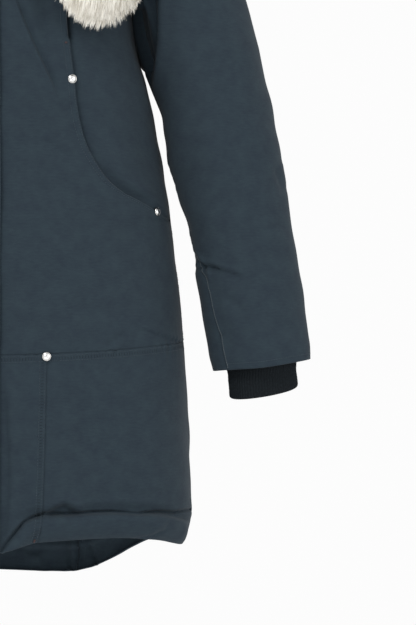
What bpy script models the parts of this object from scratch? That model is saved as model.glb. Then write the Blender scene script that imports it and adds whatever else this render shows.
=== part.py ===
"""A fur trimmed parka, filled out and hollow, as it hangs from a hold at its neck.

Every cloth panel is a wall laid on one body surface. A point of that surface is given by an angle
from the centre line (0 at the centre line, 90 degrees at the side), a level, and front or rear.
Levels up to 0 are metres below the armpit; levels from 0 to 1 run from the armpit to the shoulder.
Metres, +Z up. The wearer faces -Y, the wearer's left is +X, and z = 0 is the top of the shoulders.
"""
import math

import bmesh
import bpy
import numpy as np
from mathutils import Vector

# Driving dimensions.
WALL = 0.003
SEAM = 0.0003
ARMPIT = -0.249
SHOULDER_HALF = 0.230
SHOULDER_TOP = 0.030
SHOULDER_SLOPE = 0.40
NECK_ANGLE = 19.2
FRONT_NECK_LEVEL = 0.624
BACK_NECK_LEVEL = 0.828
SQUARENESS = 0.12
CROSS_SEAM = -0.663
CROSS_SEAM_RISE = 0.014
HEM_ROLL_TOP = 0.070
PLACKET_HALF = 0.0375
PLACKET_TOP_LEVEL = 0.60
SLEEVE_SEAT = 0.0015
COLLAR_SEAT = 0.0005
COLLAR_OPENING = 0.0020
COLLAR_TOP = (0.010, 0.050, 0.046)
RIVET_RADIUS = 0.0052
RIVET_HEIGHT = 0.0034
RIVET_SIDES = 12
CUFF_RIBS = 32
CUFF_RIB_DEPTH = 0.0010

# height, half width, front depth, back depth
BODY = (
    (-0.960, 0.2535, 0.136, 0.140),
    (-0.850, 0.2558, 0.134, 0.138),
    (-0.720, 0.2520, 0.130, 0.136),
    (-0.648, 0.2468, 0.128, 0.134),
    (-0.576, 0.2394, 0.124, 0.128),
    (-0.520, 0.2318, 0.121, 0.120),
    (-0.465, 0.2246, 0.119, 0.112),
    (-0.412, 0.2168, 0.120, 0.106),
    (-0.385, 0.2128, 0.122, 0.105),
    (-0.360, 0.2078, 0.125, 0.105),
    (-0.335, 0.2010, 0.1275, 0.106),
    (-0.310, 0.1928, 0.130, 0.108),
    (-0.280, 0.1850, 0.131, 0.111),
    (-0.249, 0.1825, 0.132, 0.114),
)

# angle from the centre front right round to the centre back, height of the hem
HEM = (
    (0.0, -0.890),
    (9.0, -0.886),
    (17.0, -0.877),
    (37.0, -0.8735),
    (54.0, -0.878),
    (75.0, -0.888),
    (90.0, -0.890),
    (126.0, -0.893),
    (131.0, -0.8965),
    (138.0, -0.907),
    (143.0, -0.9174),
    (148.0, -0.927),
    (152.0, -0.934),
    (160.0, -0.940),
    (180.0, -0.938),
)

# height above the hem edge, how far the rolled hem stands out from the body surface: front and
# back, then at the sides, where it turns in
HEM_ROLL = (
    (0.000, -0.0040, -0.0105),
    (0.006, 0.0010, -0.0080),
    (0.017, 0.0045, -0.0052),
    (0.026, 0.0034, -0.0032),
    (0.032, -0.0048, -0.0022),
    (0.044, -0.0012, -0.0004),
    (0.070, 0.0, 0.0),
)

# height, x of the seam that becomes the scoop of the hand pocket and runs out to the side seam
POCKET_EDGE = (
    (-0.5030, 0.2265),
    (-0.4953, 0.2151),
    (-0.4855, 0.2001),
    (-0.4724, 0.1756),
    (-0.4590, 0.1599),
    (-0.4390, 0.1459),
    (-0.4180, 0.1359),
    (-0.3900, 0.1282),
    (-0.3670, 0.1244),
    (-0.3490, 0.1227),
    (-0.3270, 0.1200),
    (-0.2726, 0.1144),
    (-0.2490, 0.1135),
)
POCKET_SINK = 0.0025
POCKET_SINK_WIDTH = 14.0
PRINCESS_ANGLES = (34.5, 38.0)

# height, x of the upright seam of the lower front, and of the lower back
LOWER_FRONT_SEAM = ((-0.890, 0.078), (-0.845, 0.0875), (-0.649, 0.0925))
LOWER_BACK_SEAM = ((-0.945, 0.112), (-0.649, 0.124))

# armhole: level, angle of its front edge, angle of its back edge
ARMHOLE = (
    (0.00, 90.0, 90.0),
    (0.015, 81.0, 81.5),
    (0.04, 75.0, 75.5),
    (0.12, 66.0, 67.0),
    (0.25, 60.0, 61.5),
    (0.42, 57.0, 59.0),
    (0.60, 57.0, 59.5),
    (0.75, 59.0, 61.5),
    (0.88, 62.0, 64.0),
    (0.96, 65.0, 66.0),
    (1.00, 67.0, 67.0),
)

# sleeve below the underarm: centre x, y, z, half width, half depth
SLEEVE = (
    (0.2687, -0.004, -0.314, 0.0712, 0.060),
    (0.2823, -0.005, -0.362, 0.0662, 0.058),
    (0.2933, -0.006, -0.415, 0.0668, 0.056),
    (0.3048, -0.008, -0.469, 0.0640, 0.054),
    (0.3172, -0.011, -0.522, 0.0599, 0.051),
    (0.3253, -0.015, -0.576, 0.0617, 0.049),
    (0.3326, -0.020, -0.629, 0.0608, 0.045),
    (0.3400, -0.026, -0.678, 0.0580, 0.040),
)
SLEEVE_TILT = 13.5
SLEEVE_TILT_STEP = 0.6
SLEEVE_CAP_STEPS = (0.0, 0.12, 0.27, 0.45, 0.64, 0.83)
SLEEVE_STUB = 0.0028
# how far the cloth heads out before it turns down: along the shoulder, off the body at the top,
# off the body under the arm
CAP_REACH = 0.206
CAP_EASE = 0.008
UNDERARM_EASE = 0.010
CAP_ARRIVAL = 0.8
# place along the sleeve, angle of its front seam, angle of its back seam (180 is the inner side)
SLEEVE_SEAMS = (
    (0.0, 172.0, 214.0),
    (8.0, 174.0, 224.0),
    (10.8, 176.0, 232.0),
    (11.5, 159.0, 234.0),
    (11.9, 144.0, 236.0),
    (12.6, 140.0, 240.0),
    (13.2, 135.0, 242.0),
    (15.0, 134.0, 245.0),
)

# knit cuff: place below the sleeve's hem, half width, half depth, how far its front hangs down
CUFF = (
    (-0.022, 0.0528, 0.0345, 0.0),
    (-0.010, 0.0420, 0.0270, 0.0),
    (0.012, 0.0400, 0.0250, 0.003),
    (0.031, 0.0405, 0.0250, 0.009),
)
CUFF_TILT = 6.5
CUFF_SHIFT = 0.0015

# angle from the centre back, then the hood's fold and edge:
# radius and height on the back, at the floor, at the outer belly and at the free edge
HOOD = (
    (0.0, 0.128, -0.100, 0.160, -0.218, 0.236, -0.140, 0.230, -0.040),
    (30.0, 0.130, -0.085, 0.166, -0.190, 0.232, -0.125, 0.228, -0.034),
    (55.0, 0.130, -0.040, 0.170, -0.105, 0.218, -0.075, 0.212, -0.022),
    (78.0, 0.112, -0.009, 0.142, -0.022, 0.172, -0.024, 0.168, -0.010),
    (98.0, 0.096, -0.002, 0.112, -0.008, 0.130, -0.014, 0.136, -0.014),
)
HOOD_COLUMNS = 10
HOOD_CLEARANCE = 0.0065
HOOD_SEAT = 0.0032

# fur strip on the front and over the shoulder, from its end on the left chest:
# angle and level on the body, clearance over it, half width, half thickness
FUR_ON_BODY = (
    (45.5, -0.0310, 0.002, 0.0290, 0.0170),
    (44.5, -0.0040, 0.002, 0.0430, 0.0240),
    (44.0, 0.2300, 0.002, 0.0480, 0.0260),
    (43.5, 0.5000, 0.003, 0.0490, 0.0270),
    (42.5, 0.7400, 0.006, 0.0480, 0.0270),
    (41.0, 0.9300, 0.010, 0.0470, 0.0270),
)
# round the hood's edge: angle from the centre back, how steeply it stands over the edge,
# half width, half thickness
FUR_ON_HOOD = (
    (86.0, 68.0, 0.0470, 0.0270),
    (64.0, 50.0, 0.0480, 0.0270),
    (42.0, 36.0, 0.0500, 0.0270),
    (20.0, 28.0, 0.0520, 0.0270),
    (0.0, 26.0, 0.0520, 0.0270),
)
FUR_OVER_HOOD = 0.0025

# rivet cap, from its crown down its outer side: share of the radius, share of the height
RIVET_PROFILE = ((0.0, 1.0), (0.45, 0.90), (0.80, 0.62), (1.0, 0.25), (1.0, 0.0), (0.0, 0.0))
# name, height of its centre, x of its centre
RIVETS = (
    ("rivet_pocket_top", -0.3456, 0.1198),
    ("rivet_pocket_end", -0.4956, 0.2155),
    ("rivet_cross_seam", -0.6644, 0.0914),
)

# name, colour, roughness, metallic
MATERIALS = {
    "cloth": ((0.030, 0.046, 0.060), 0.75, 0.0),
    "fur": ((0.72, 0.69, 0.61), 0.9, 0.0),
    "knit": ((0.010, 0.011, 0.014), 0.9, 0.0),
    "metal": ((0.80, 0.80, 0.79), 0.25, 1.0),
}


def clear_scene():
    for obj in list(bpy.data.objects):
        bpy.data.objects.remove(obj, do_unlink=True)


def make_material(name):
    colour, roughness, metallic = MATERIALS[name]
    material = bpy.data.materials.new(name)
    material.use_nodes = True
    shader = material.node_tree.nodes["Principled BSDF"]
    shader.inputs["Base Color"].default_value = (*colour, 1.0)
    shader.inputs["Roughness"].default_value = roughness
    shader.inputs["Metallic"].default_value = metallic
    return material


# Numbers and tables.


def unit(vector):
    return vector / max(np.linalg.norm(vector), 1e-12)


def smooth(x):
    x = min(max(x, 0.0), 1.0)
    return x * x * (3.0 - 2.0 * x)


def read(table, key, column):
    """The column's value at key, on a smooth curve through the table's rows that never overshoots."""
    if key <= table[0][0]:
        return table[0][column]
    if key >= table[-1][0]:
        return table[-1][column]
    at = next(i for i in range(len(table) - 1) if key <= table[i + 1][0])

    def slope(i):
        if i == 0 or i == len(table) - 1:
            j = 0 if i == 0 else i - 1
            return (table[j + 1][column] - table[j][column]) / (table[j + 1][0] - table[j][0])
        before = (table[i][column] - table[i - 1][column]) / (table[i][0] - table[i - 1][0])
        after = (table[i + 1][column] - table[i][column]) / (table[i + 1][0] - table[i][0])
        return 0.0 if before * after <= 0 else 2.0 * before * after / (before + after)

    span = table[at + 1][0] - table[at][0]
    t = (key - table[at][0]) / span
    start = (2 * t**3 - 3 * t**2 + 1) * table[at][column] + (t**3 - 2 * t**2 + t) * span * slope(at)
    end = (3 * t**2 - 2 * t**3) * table[at + 1][column] + (t**3 - t**2) * span * slope(at + 1)
    return start + end


# The body surface.


def surface(angle, level, rear):
    """The point at a signed angle in degrees, a level, and front or rear."""
    sine, cosine = math.sin(math.radians(angle)), math.cos(math.radians(angle))
    depth_column = 3 if rear else 2
    if level <= 0:
        height = ARMPIT + level
        half = read(BODY, height, 1)
        depth = read(BODY, height, depth_column)
        square = SQUARENESS
    else:
        half = BODY[-1][1] + (SHOULDER_HALF - BODY[-1][1]) * smooth(level)
        square = SQUARENESS * (1.0 - level)
        top = SHOULDER_TOP - SHOULDER_SLOPE * SHOULDER_HALF * abs(sine)
        height = ARMPIT + (top - ARMPIT) * level
        middle = 1.0 - smooth(abs(angle) / 50.0)
        power = 3.0 - (0.6 if rear else 1.1) * middle
        root = 0.5 + (0.1 if rear else 0.25) * middle
        depth = BODY[-1][depth_column] * (1.0 - min(level, 1.0) ** power) ** root
    x = half * sine * (1.0 + square * cosine**2)
    y = depth * cosine * (1.0 + square * sine**2)
    return np.array((x, y if rear else -y, height))


def outward(angle, level, rear):
    """The unit normal there. On the shoulder seam front and back share one that points straight up."""
    step_angle, step_level = 0.5, 0.002
    low, high = level - step_level, min(level + step_level, 1.0)
    if level > 0.9995:
        low = level - 0.0002
    across = surface(angle + step_angle, level, rear) - surface(angle - step_angle, level, rear)
    if level > 0.9995:
        across = np.array((1.0, 0.0, -SHOULDER_SLOPE * (1 if angle >= 0 else -1)))
    along = surface(angle, high, rear) - surface(angle, low, rear)
    normal = unit(np.cross(across, along))
    if rear:
        normal = -normal
    if level > 0.9995:
        normal = unit(normal * np.array((1.0, 0.0, 1.0)))
    return normal


def angle_at(x, level, rear):
    """The angle whose surface point has this x."""
    low, high = 0.0, 90.0
    for _ in range(40):
        middle = (low + high) / 2
        if surface(middle, level, rear)[0] < x:
            low = middle
        else:
            high = middle
    return (low + high) / 2


def back_depth(x, z):
    """How far back the rear surface is at x and height z, or None above the shoulders."""
    angle, level = 30.0, 0.5
    for _ in range(12):
        top = SHOULDER_TOP - SHOULDER_SLOPE * SHOULDER_HALF * math.sin(math.radians(angle))
        level = (z - ARMPIT) / (top - ARMPIT) if z > ARMPIT else z - ARMPIT
        if level >= 1.0:
            return None
        angle = angle_at(min(abs(x), 0.18), level, True)
    return surface(angle, level, True)[1]


# Walls.


def solid(name, outer, inner, material, closed=False):
    """A wall between two grids of points. closed joins its last column to its first."""
    rows, columns = len(outer), len(outer[0])
    mesh = bmesh.new()
    skin = [[[mesh.verts.new(point) for point in row] for row in side] for side in (outer, inner)]
    last = columns if closed else columns - 1
    for row in range(rows - 1):
        for column in range(last):
            beside = (column + 1) % columns
            ring = ((row, column), (row, beside), (row + 1, beside), (row + 1, column))
            mesh.faces.new([skin[0][r][c] for r, c in ring])
            mesh.faces.new([skin[1][r][c] for r, c in reversed(ring)])

    def rim(here, beside):
        """Two triangles across the wall's edge, always cut the same way, so neighbours run parallel."""
        corners = [skin[side][r][c] for side, (r, c) in ((0, here), (0, beside), (1, beside), (1, here))]
        mesh.faces.new(corners[:3])
        mesh.faces.new((corners[0], corners[2], corners[3]))

    for row in (0, rows - 1):
        for column in range(last):
            rim((row, column), (row, (column + 1) % columns))
    if not closed:
        for column in (0, columns - 1):
            for row in range(rows - 1):
                rim((row, column), (row + 1, column))
    bmesh.ops.recalc_face_normals(mesh, faces=mesh.faces)
    return add_object(name, mesh, material)


def add_object(name, mesh, material):
    data = bpy.data.meshes.new(name)
    mesh.to_mesh(data)
    mesh.free()
    data.materials.append(material)
    data.shade_smooth()
    data.set_sharp_from_angle(angle=math.radians(40))
    obj = bpy.data.objects.new(name, data)
    bpy.data.collections["parka"].objects.link(obj)
    return obj


def pull_in(grid, sides, amount=SEAM / 2):
    """Moves the named edges of a grid inward by half a seam, so that neighbours stay a seam apart."""
    grid = [[np.array(point) for point in row] for row in grid]
    if "low" in sides:
        grid[0] = [p + unit(q - p) * amount for p, q in zip(grid[0], grid[1])]
    if "high" in sides:
        grid[-1] = [p + unit(q - p) * amount for p, q in zip(grid[-1], grid[-2])]
    for row in grid:
        if "near" in sides:
            row[0] = row[0] + unit(row[1] - row[0]) * amount
        if "far" in sides:
            row[-1] = row[-1] + unit(row[-2] - row[-1]) * amount
    return grid


def mirrored(grid):
    return [[point * np.array((-1.0, 1.0, 1.0)) for point in row] for row in grid]


def panel(name, rows, columns, rear, material, relief=None, sides=(), lift=0.0, mirror=False):
    """A wall on the body surface. A row is (level function of angle, near angle, far angle)."""
    outer, inner = [], []
    for level_of, near, far in rows:
        outer_row, inner_row = [], []
        for column in range(columns + 1):
            angle = near + (far - near) * column / columns
            level = level_of(angle)
            normal = outward(angle, level, rear)
            stand = lift + (relief(angle, level, far - angle, angle - near) if relief else 0.0)
            point = surface(angle, level, rear) + normal * stand
            outer_row.append(point)
            inner_row.append(point - normal * WALL)
        outer.append(outer_row)
        inner.append(inner_row)
    outer, inner = pull_in(outer, sides), pull_in(inner, sides)
    if mirror:
        outer, inner = mirrored(outer), mirrored(inner)
    return solid(name, outer, inner, material)


# Rows of the panels.


def round_angle(angle, rear):
    return 180.0 - abs(angle) if rear else abs(angle)


def hem_height(angle, rear):
    return read(HEM, round_angle(angle, rear), 1)


def cross_seam_height(angle, rear):
    if rear:
        return CROSS_SEAM + CROSS_SEAM_RISE
    return CROSS_SEAM + CROSS_SEAM_RISE * math.sin(math.radians(angle)) ** 2


def hem_relief(rear):
    def relief(angle, level, *_):
        height = ARMPIT + level - hem_height(angle, rear)
        x = abs(surface(angle, level, rear)[0])
        fade = 0.6 if rear else smooth((x - 0.042) / 0.045)
        side = smooth((abs(angle) - 70.0) / 20.0)
        return read(HEM_ROLL, height, 1) * fade * (1.0 - side) + read(HEM_ROLL, height, 2) * side

    return relief


def lower_rows(near, far, rear):
    """Rows from the hem to the cross seam, close together on the rolled hem."""
    rows = []
    for above_hem in [row[0] for row in HEM_ROLL]:

        def level_of(angle, above_hem=above_hem):
            return hem_height(angle, rear) + above_hem - ARMPIT

        rows.append(level_of)
    for share in (0.25, 0.5, 0.75, 1.0):

        def level_of(angle, share=share):
            base = hem_height(angle, rear) + HEM_ROLL_TOP
            return base + (cross_seam_height(angle, rear) - base) * share - ARMPIT

        rows.append(level_of)
    return [(level_of, near(level_of), far(level_of)) for level_of in rows]


def upper_levels(heights, rear):
    """Level functions for rows of these heights, the first of them sloping as the cross seam does."""
    blend_top = -0.56
    functions = []
    for height in heights:
        weight = min(max((blend_top - height) / (blend_top - CROSS_SEAM), 0.0), 1.0)

        def level_of(angle, height=height, weight=weight):
            return height + (cross_seam_height(angle, rear) - CROSS_SEAM) * weight - ARMPIT

        functions.append(level_of)
    return functions


def seam_angle(table, rear):
    def angle_of(level_of):
        height = ARMPIT + level_of(25.0)
        return angle_at(read(table, height, 1), level_of(25.0), rear)

    return angle_of


def fixed(angle):
    return lambda level_of: angle


def flat_level(level):
    return lambda angle: level


LOWER_BODY_HEIGHTS = (CROSS_SEAM, -0.630, -0.595, -0.555, -0.525, -0.5065)
POCKET_HEIGHTS = (-0.5030, -0.4953, -0.4855, -0.4724, -0.4590, -0.4390, -0.4180)
CHEST_HEIGHTS = (-0.3900, -0.3670, -0.3490, -0.3270, -0.3000, -0.2726)
FRONT_LEVELS = (
    0.0, 0.015, 0.04, 0.12, 0.23, 0.33, 0.43, 0.54,
    0.624, 0.65, 0.70, 0.77, 0.85, 0.92, 0.97, 0.992, 1.0,
)
BACK_LEVELS = (0.0, 0.015, 0.04, 0.12, 0.25, 0.42, 0.60, 0.75, 0.828, 0.85, 0.89, 0.94, 0.98, 0.995, 1.0)


def pocket_angle(level):
    if level < 0:
        return angle_at(read(POCKET_EDGE, ARMPIT + level, 1), level, False)
    return PRINCESS_ANGLES[0] + (PRINCESS_ANGLES[1] - PRINCESS_ANGLES[0]) * level


def neck_angle(level, start):
    if level <= start:
        return 0.0
    return NECK_ANGLE * math.sqrt((level - start) / (1.0 - start))


def front_center_rows():
    rows = [(level_of, 0.0, 90.0) for level_of in upper_levels(LOWER_BODY_HEIGHTS, False)]
    for height in POCKET_HEIGHTS + CHEST_HEIGHTS:
        level = height - ARMPIT
        rows.append((flat_level(level), 0.0, pocket_angle(level)))
    for level in FRONT_LEVELS:
        rows.append((flat_level(level), neck_angle(level, FRONT_NECK_LEVEL), pocket_angle(level)))
    return rows


def front_side_rows():
    rows = []
    for height in POCKET_HEIGHTS + CHEST_HEIGHTS:
        level = height - ARMPIT
        rows.append((flat_level(level), pocket_angle(level), 90.0))
    for level in FRONT_LEVELS:
        rows.append((flat_level(level), pocket_angle(level), read(ARMHOLE, level, 1)))
    return rows


def back_upper_rows():
    heights = (CROSS_SEAM, -0.630, -0.595, -0.555, -0.520, -0.480, -0.440, -0.400, -0.360, -0.320, -0.285)
    rows = [(level_of, 0.0, 90.0) for level_of in upper_levels(heights, True)]
    for level in BACK_LEVELS:
        rows.append((flat_level(level), neck_angle(level, BACK_NECK_LEVEL), read(ARMHOLE, level, 2)))
    return rows


def pocket_sink(angle, level, to_far, to_near):
    """The pocket side panel lies a little under the edge of the scoop."""
    fade_top = 1.0 - smooth((level - 0.0) / 0.2)
    return -POCKET_SINK * (1.0 - smooth(to_near / POCKET_SINK_WIDTH)) * fade_top


def make_body(cloth):
    for side, mirror in (("left", False), ("right", True)):
        panel(
            f"front_center_{side}", front_center_rows(), 7, False, cloth,
            sides=("low", "near", "far", "high"), mirror=mirror,
        )
        panel(
            f"front_side_{side}", front_side_rows(), 5, False, cloth, pocket_sink,
            sides=("near", "high", "far"), mirror=mirror,
        )
        panel(
            f"back_upper_{side}", back_upper_rows(), 7, True, cloth,
            sides=("low", "near", "far", "high"), mirror=mirror,
        )
        front_seam = seam_angle(LOWER_FRONT_SEAM, False)
        back_seam = seam_angle(LOWER_BACK_SEAM, True)
        panel(
            f"front_lower_{side}", lower_rows(fixed(0.0), front_seam, False), 4, False, cloth,
            hem_relief(False), sides=("near", "far", "high"), mirror=mirror,
        )
        panel(
            f"front_skirt_{side}", lower_rows(front_seam, fixed(90.0), False), 7, False, cloth,
            hem_relief(False), sides=("near", "far", "high"), mirror=mirror,
        )
        panel(
            f"back_lower_{side}", lower_rows(back_seam, fixed(90.0), True), 6, True, cloth,
            hem_relief(True), sides=("near", "far", "high"), mirror=mirror,
        )

    def mirror_seam(level_of):
        return -back_seam(level_of)

    panel(
        "back_lower_center", lower_rows(mirror_seam, back_seam, True), 8, True, cloth,
        hem_relief(True), sides=("near", "far", "high"),
    )


def make_placket(cloth):
    """The flap over the closure, laid on the fronts' own rows."""
    levels = [row[0] for row in lower_rows(fixed(0.0), fixed(1.0), False)]
    levels += upper_levels(LOWER_BODY_HEIGHTS, False)[1:]
    levels += [flat_level(height - ARMPIT) for height in POCKET_HEIGHTS + CHEST_HEIGHTS]
    levels += [flat_level(level) for level in FRONT_LEVELS if level < PLACKET_TOP_LEVEL]
    rows = []
    for level_of in levels:
        half_angle = angle_at(PLACKET_HALF, level_of(8.0), False)
        rows.append((level_of, -half_angle, half_angle))
    panel("placket", rows, 4, False, cloth, hem_relief(False), lift=WALL + SEAM)


# Sleeves.


def armhole_point(turn):
    """Point, body normal and direction into the panel at a turn of 0 (shoulder tip) to 360 degrees."""
    rear = turn > 180.0
    level = (1.0 + math.cos(math.radians(turn))) / 2
    column = 2 if rear else 1
    angle = read(ARMHOLE, level, column)
    point = surface(angle, level, rear)
    steady = min(max(level, 0.02), 0.985)
    normal = outward(read(ARMHOLE, steady, column), steady, rear)
    level_ends = (min(level + 0.02, 1.0), max(level - 0.02, 0.0))
    ends = [surface(read(ARMHOLE, at, column), at, rear) for at in level_ends]
    edge = unit(ends[0] - ends[1])
    side = min(abs(math.sin(math.radians(turn))) * 2.5, 1.0)
    normal = unit(normal * np.array((1.0, side, 1.0)))
    if level < 0.05 or level > 0.985:
        flat = np.array((0.0, -1.0, 0.0)) if not rear else np.array((0.0, 1.0, 0.0))
        edge = unit(edge * side + flat * (1.0 - side) * (1.0 if level < 0.5 else -1.0))
    into = unit(np.cross(edge, normal)) * (1.0 if rear else -1.0)
    return point, normal, into


def sleeve_frame(place):
    """Centre, axis and outward direction at a place along the SLEEVE table, 0 to its last row."""
    table = [(i, *row) for i, row in enumerate(SLEEVE)]
    centre = np.array([read(table, place, column) for column in (1, 2, 3)])
    tilt = math.radians(SLEEVE_TILT - SLEEVE_TILT_STEP * place)
    lean = -0.05 - 0.008 * min(place, 5.0) + 0.045 * max(place - 5.0, 0.0)
    axis = np.array((math.sin(tilt), lean, -math.cos(tilt)))
    axis = unit(axis)
    out = unit(np.cross(axis, np.array((0.0, -1.0, 0.0))))
    if out[0] < 0:
        out = -out
    front = unit(np.cross(out, axis))
    if front[1] > 0:
        front = -front
    return centre, axis, out, front, read(table, place, 4), read(table, place, 5)


def sleeve_point(turn, place):
    centre, _, out, front, half_width, half_depth = sleeve_frame(place)
    sine, cosine = math.sin(math.radians(turn)), math.cos(math.radians(turn))
    return centre + out * half_width * cosine + front * half_depth * sine


def cap_point(turn, step):
    """The sleeve's head: from a stub that stands on the armhole's edge to the first full ring."""
    point, normal, into = armhole_point(turn)
    start = point + normal * (SLEEVE_SEAT + SLEEVE_STUB) + into * WALL * 0.6
    end = sleeve_point(turn, 0.0)
    axis = sleeve_frame(0.0)[1]
    high = ((1.0 + math.cos(math.radians(turn))) / 2) ** 0.9
    leave = -into * CAP_REACH * high + normal * (UNDERARM_EASE + (CAP_EASE - UNDERARM_EASE) * high)
    arrive = axis * np.linalg.norm(end - start) * CAP_ARRIVAL
    h = (
        2 * step**3 - 3 * step**2 + 1,
        step**3 - 2 * step**2 + step,
        3 * step**2 - 2 * step**3,
        step**3 - step**2,
    )
    return start * h[0] + leave * h[1] + end * h[2] + arrive * h[3]


def sleeve_seam(row, column):
    return read(SLEEVE_SEAMS, row, column)


def sleeve_rows():
    """Functions of the turn for each ring of the sleeve, from the armhole to its hem."""

    def seat(turn):
        point, normal, into = armhole_point(turn)
        return point + normal * SLEEVE_SEAT + into * WALL

    rings = [seat]
    rings += [lambda turn, step=step: cap_point(turn, step) for step in SLEEVE_CAP_STEPS]
    rings += [lambda turn, place=place: sleeve_point(turn, place) for place in range(len(SLEEVE))]
    return rings


def ring_normal(rings, row, turn):
    step = 3.0
    around = rings[row](turn + step) - rings[row](turn - step)
    before, after = rings[max(row - 1, 0)](turn), rings[min(row + 1, len(rings) - 1)](turn)
    here = rings[row](turn)
    ways = [unit(b - a) for a, b in ((before, here), (here, after)) if np.linalg.norm(b - a) > 1e-6]
    along = unit(sum(ways))
    return unit(np.cross(along, around))


def sleeve_wall(first_turn, last_turn, columns):
    rings = sleeve_rows()
    outer, inner = [], []
    for row in range(len(rings)):
        first, last = first_turn(row), last_turn(row)
        outer_row, inner_row = [], []
        for column in range(columns + 1):
            turn = (first + (last - first) * column / columns) % 360.0
            point = rings[row](turn)
            if row == 0:
                base, normal, _ = armhole_point(turn)
                inner_row.append(base + normal * SLEEVE_SEAT)
            else:
                inner_row.append(point + ring_normal(rings, row, turn) * WALL)
            outer_row.append(point)
        outer.append(outer_row)
        inner.append(inner_row)
    return pull_in(outer, ("near", "far")), pull_in(inner, ("near", "far"))


def make_sleeves(cloth):
    upper = sleeve_wall(
        lambda row: sleeve_seam(row, 2) - 360.0, lambda row: sleeve_seam(row, 1), 15
    )
    under = sleeve_wall(lambda row: sleeve_seam(row, 1), lambda row: sleeve_seam(row, 2), 4)
    for name, (outer, inner) in (("sleeve_upper", upper), ("sleeve_under", under)):
        solid(f"{name}_left", outer, inner, cloth)
        solid(f"{name}_right", mirrored(outer), mirrored(inner), cloth)


def make_cuffs(knit):
    """Knit cuffs, flared to the inside of the sleeve at their top, with ribs raised on the outside."""
    centre, axis, out, front, _, _ = sleeve_frame(len(SLEEVE) - 1)
    tilt = math.radians(CUFF_TILT)
    fall = np.array((math.sin(tilt), 0.0, -math.cos(tilt)))
    outer, inner = [], []
    for index, (below, half_width, half_depth, hang) in enumerate(CUFF):
        outer_row, inner_row = [], []
        middle = centre + axis * min(below, 0.0) + fall * max(below, 0.0)
        if below > 0:
            middle = middle - np.array((CUFF_SHIFT, 0.0, 0.0))
        for column in range(2 * CUFF_RIBS):
            turn = math.radians(360.0 * column / (2 * CUFF_RIBS))
            radial = out * math.cos(turn) * half_width + front * math.sin(turn) * half_depth
            base = middle + radial - np.array((0.0, 0.0, hang * math.sin(turn)))
            rib = CUFF_RIB_DEPTH if column % 2 == 0 and index > 1 else 0.0
            outer_row.append(base + unit(radial) * rib)
            inner_row.append(base - unit(radial) * WALL)
        outer.append(outer_row)
        inner.append(inner_row)
    solid("cuff_left", outer, inner, knit, closed=True)
    solid("cuff_right", mirrored(outer), mirrored(inner), knit, closed=True)


# Neck.


def neckline():
    """(point, normal, direction into the panel) from the centre front to the centre back, on +X.

    The stations are the panels' own rows, so what stands on the neckline follows their edge.
    """
    front = [(level, False) for level in FRONT_LEVELS if level >= FRONT_NECK_LEVEL]
    back = [(level, True) for level in reversed(BACK_LEVELS[:-1]) if level >= BACK_NECK_LEVEL]
    found = []
    for level, rear in front + back:
        start = BACK_NECK_LEVEL if rear else FRONT_NECK_LEVEL
        angle = neck_angle(level, start)
        found.append((surface(angle, level, rear), outward(angle, level, rear)))
    last = len(found) - 1
    points = [point for point, _ in found]
    result = []
    for index, (point, normal) in enumerate(found):
        edge = points[min(index + 1, last)] - points[max(index - 1, 0)]
        if index in (0, last):
            edge = np.array((1.0 if index == 0 else -1.0, 0.0, 0.0))
            normal = unit(normal * np.array((0.0, 1.0, 1.0)))
        into = unit(np.cross(normal, edge))
        if np.dot(into, point * np.array((1.0, 1.0, 0.0))) < 0:
            into = -into
        result.append((point, normal, into))
    return result


def full_neckline():
    """The same right round, from the centre front on -X to the centre front on +X."""
    half = neckline()
    flip = np.array((-1.0, 1.0, 1.0))
    other = [tuple(vector * flip for vector in station) for station in half]
    return other + half[-2::-1]


def collar_top(point):
    """Height of the collar's top edge over a point of the neckline: front, side, back."""
    front, side, back = COLLAR_TOP
    end = back if point[1] > 0 else front
    return side + (end - side) * smooth(abs(point[1]) / 0.085)


def make_collar(cloth):
    outer = [[], [], [], []]
    inner = [[], [], [], []]
    stations = full_neckline()
    for index, (point, normal, into) in enumerate(stations):
        away = unit(into * np.array((1.0, 1.0, 0.0)))
        shift = np.zeros(3)
        if index in (0, len(stations) - 1):
            shift = np.array((COLLAR_OPENING / 2 if index else -COLLAR_OPENING / 2, 0.0, 0.0))
        seat_in = point + normal * COLLAR_SEAT + shift
        outer[0].append(seat_in + into * WALL)
        inner[0].append(seat_in)
        rise = collar_top(point) - point[2]
        for row, share in ((1, 0.15), (2, 0.55), (3, 1.0)):
            lean = away * (-0.005 * share)
            base = seat_in + np.array((0.0, 0.0, rise * share)) + lean
            base = base + normal * WALL * (row == 1)
            outer[row].append(base + away * WALL)
            inner[row].append(base)
    solid("collar", outer, inner, cloth)


def neck_station(stations, angle):
    """The neckline's point, normal and inward direction at an angle from the centre back."""
    bearings = [math.degrees(math.atan2(abs(s[0][0]), s[0][1] + 0.010)) for s in stations]
    order = sorted(range(len(stations)), key=lambda i: bearings[i])
    at = [bearings[i] for i in order]
    found = []
    for part in range(3):
        for axis in range(3):
            found.append(np.interp(abs(angle), at, [stations[i][part][axis] for i in order]))
    return np.array(found[0:3]), unit(np.array(found[3:6])), unit(np.array(found[6:9]))


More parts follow.
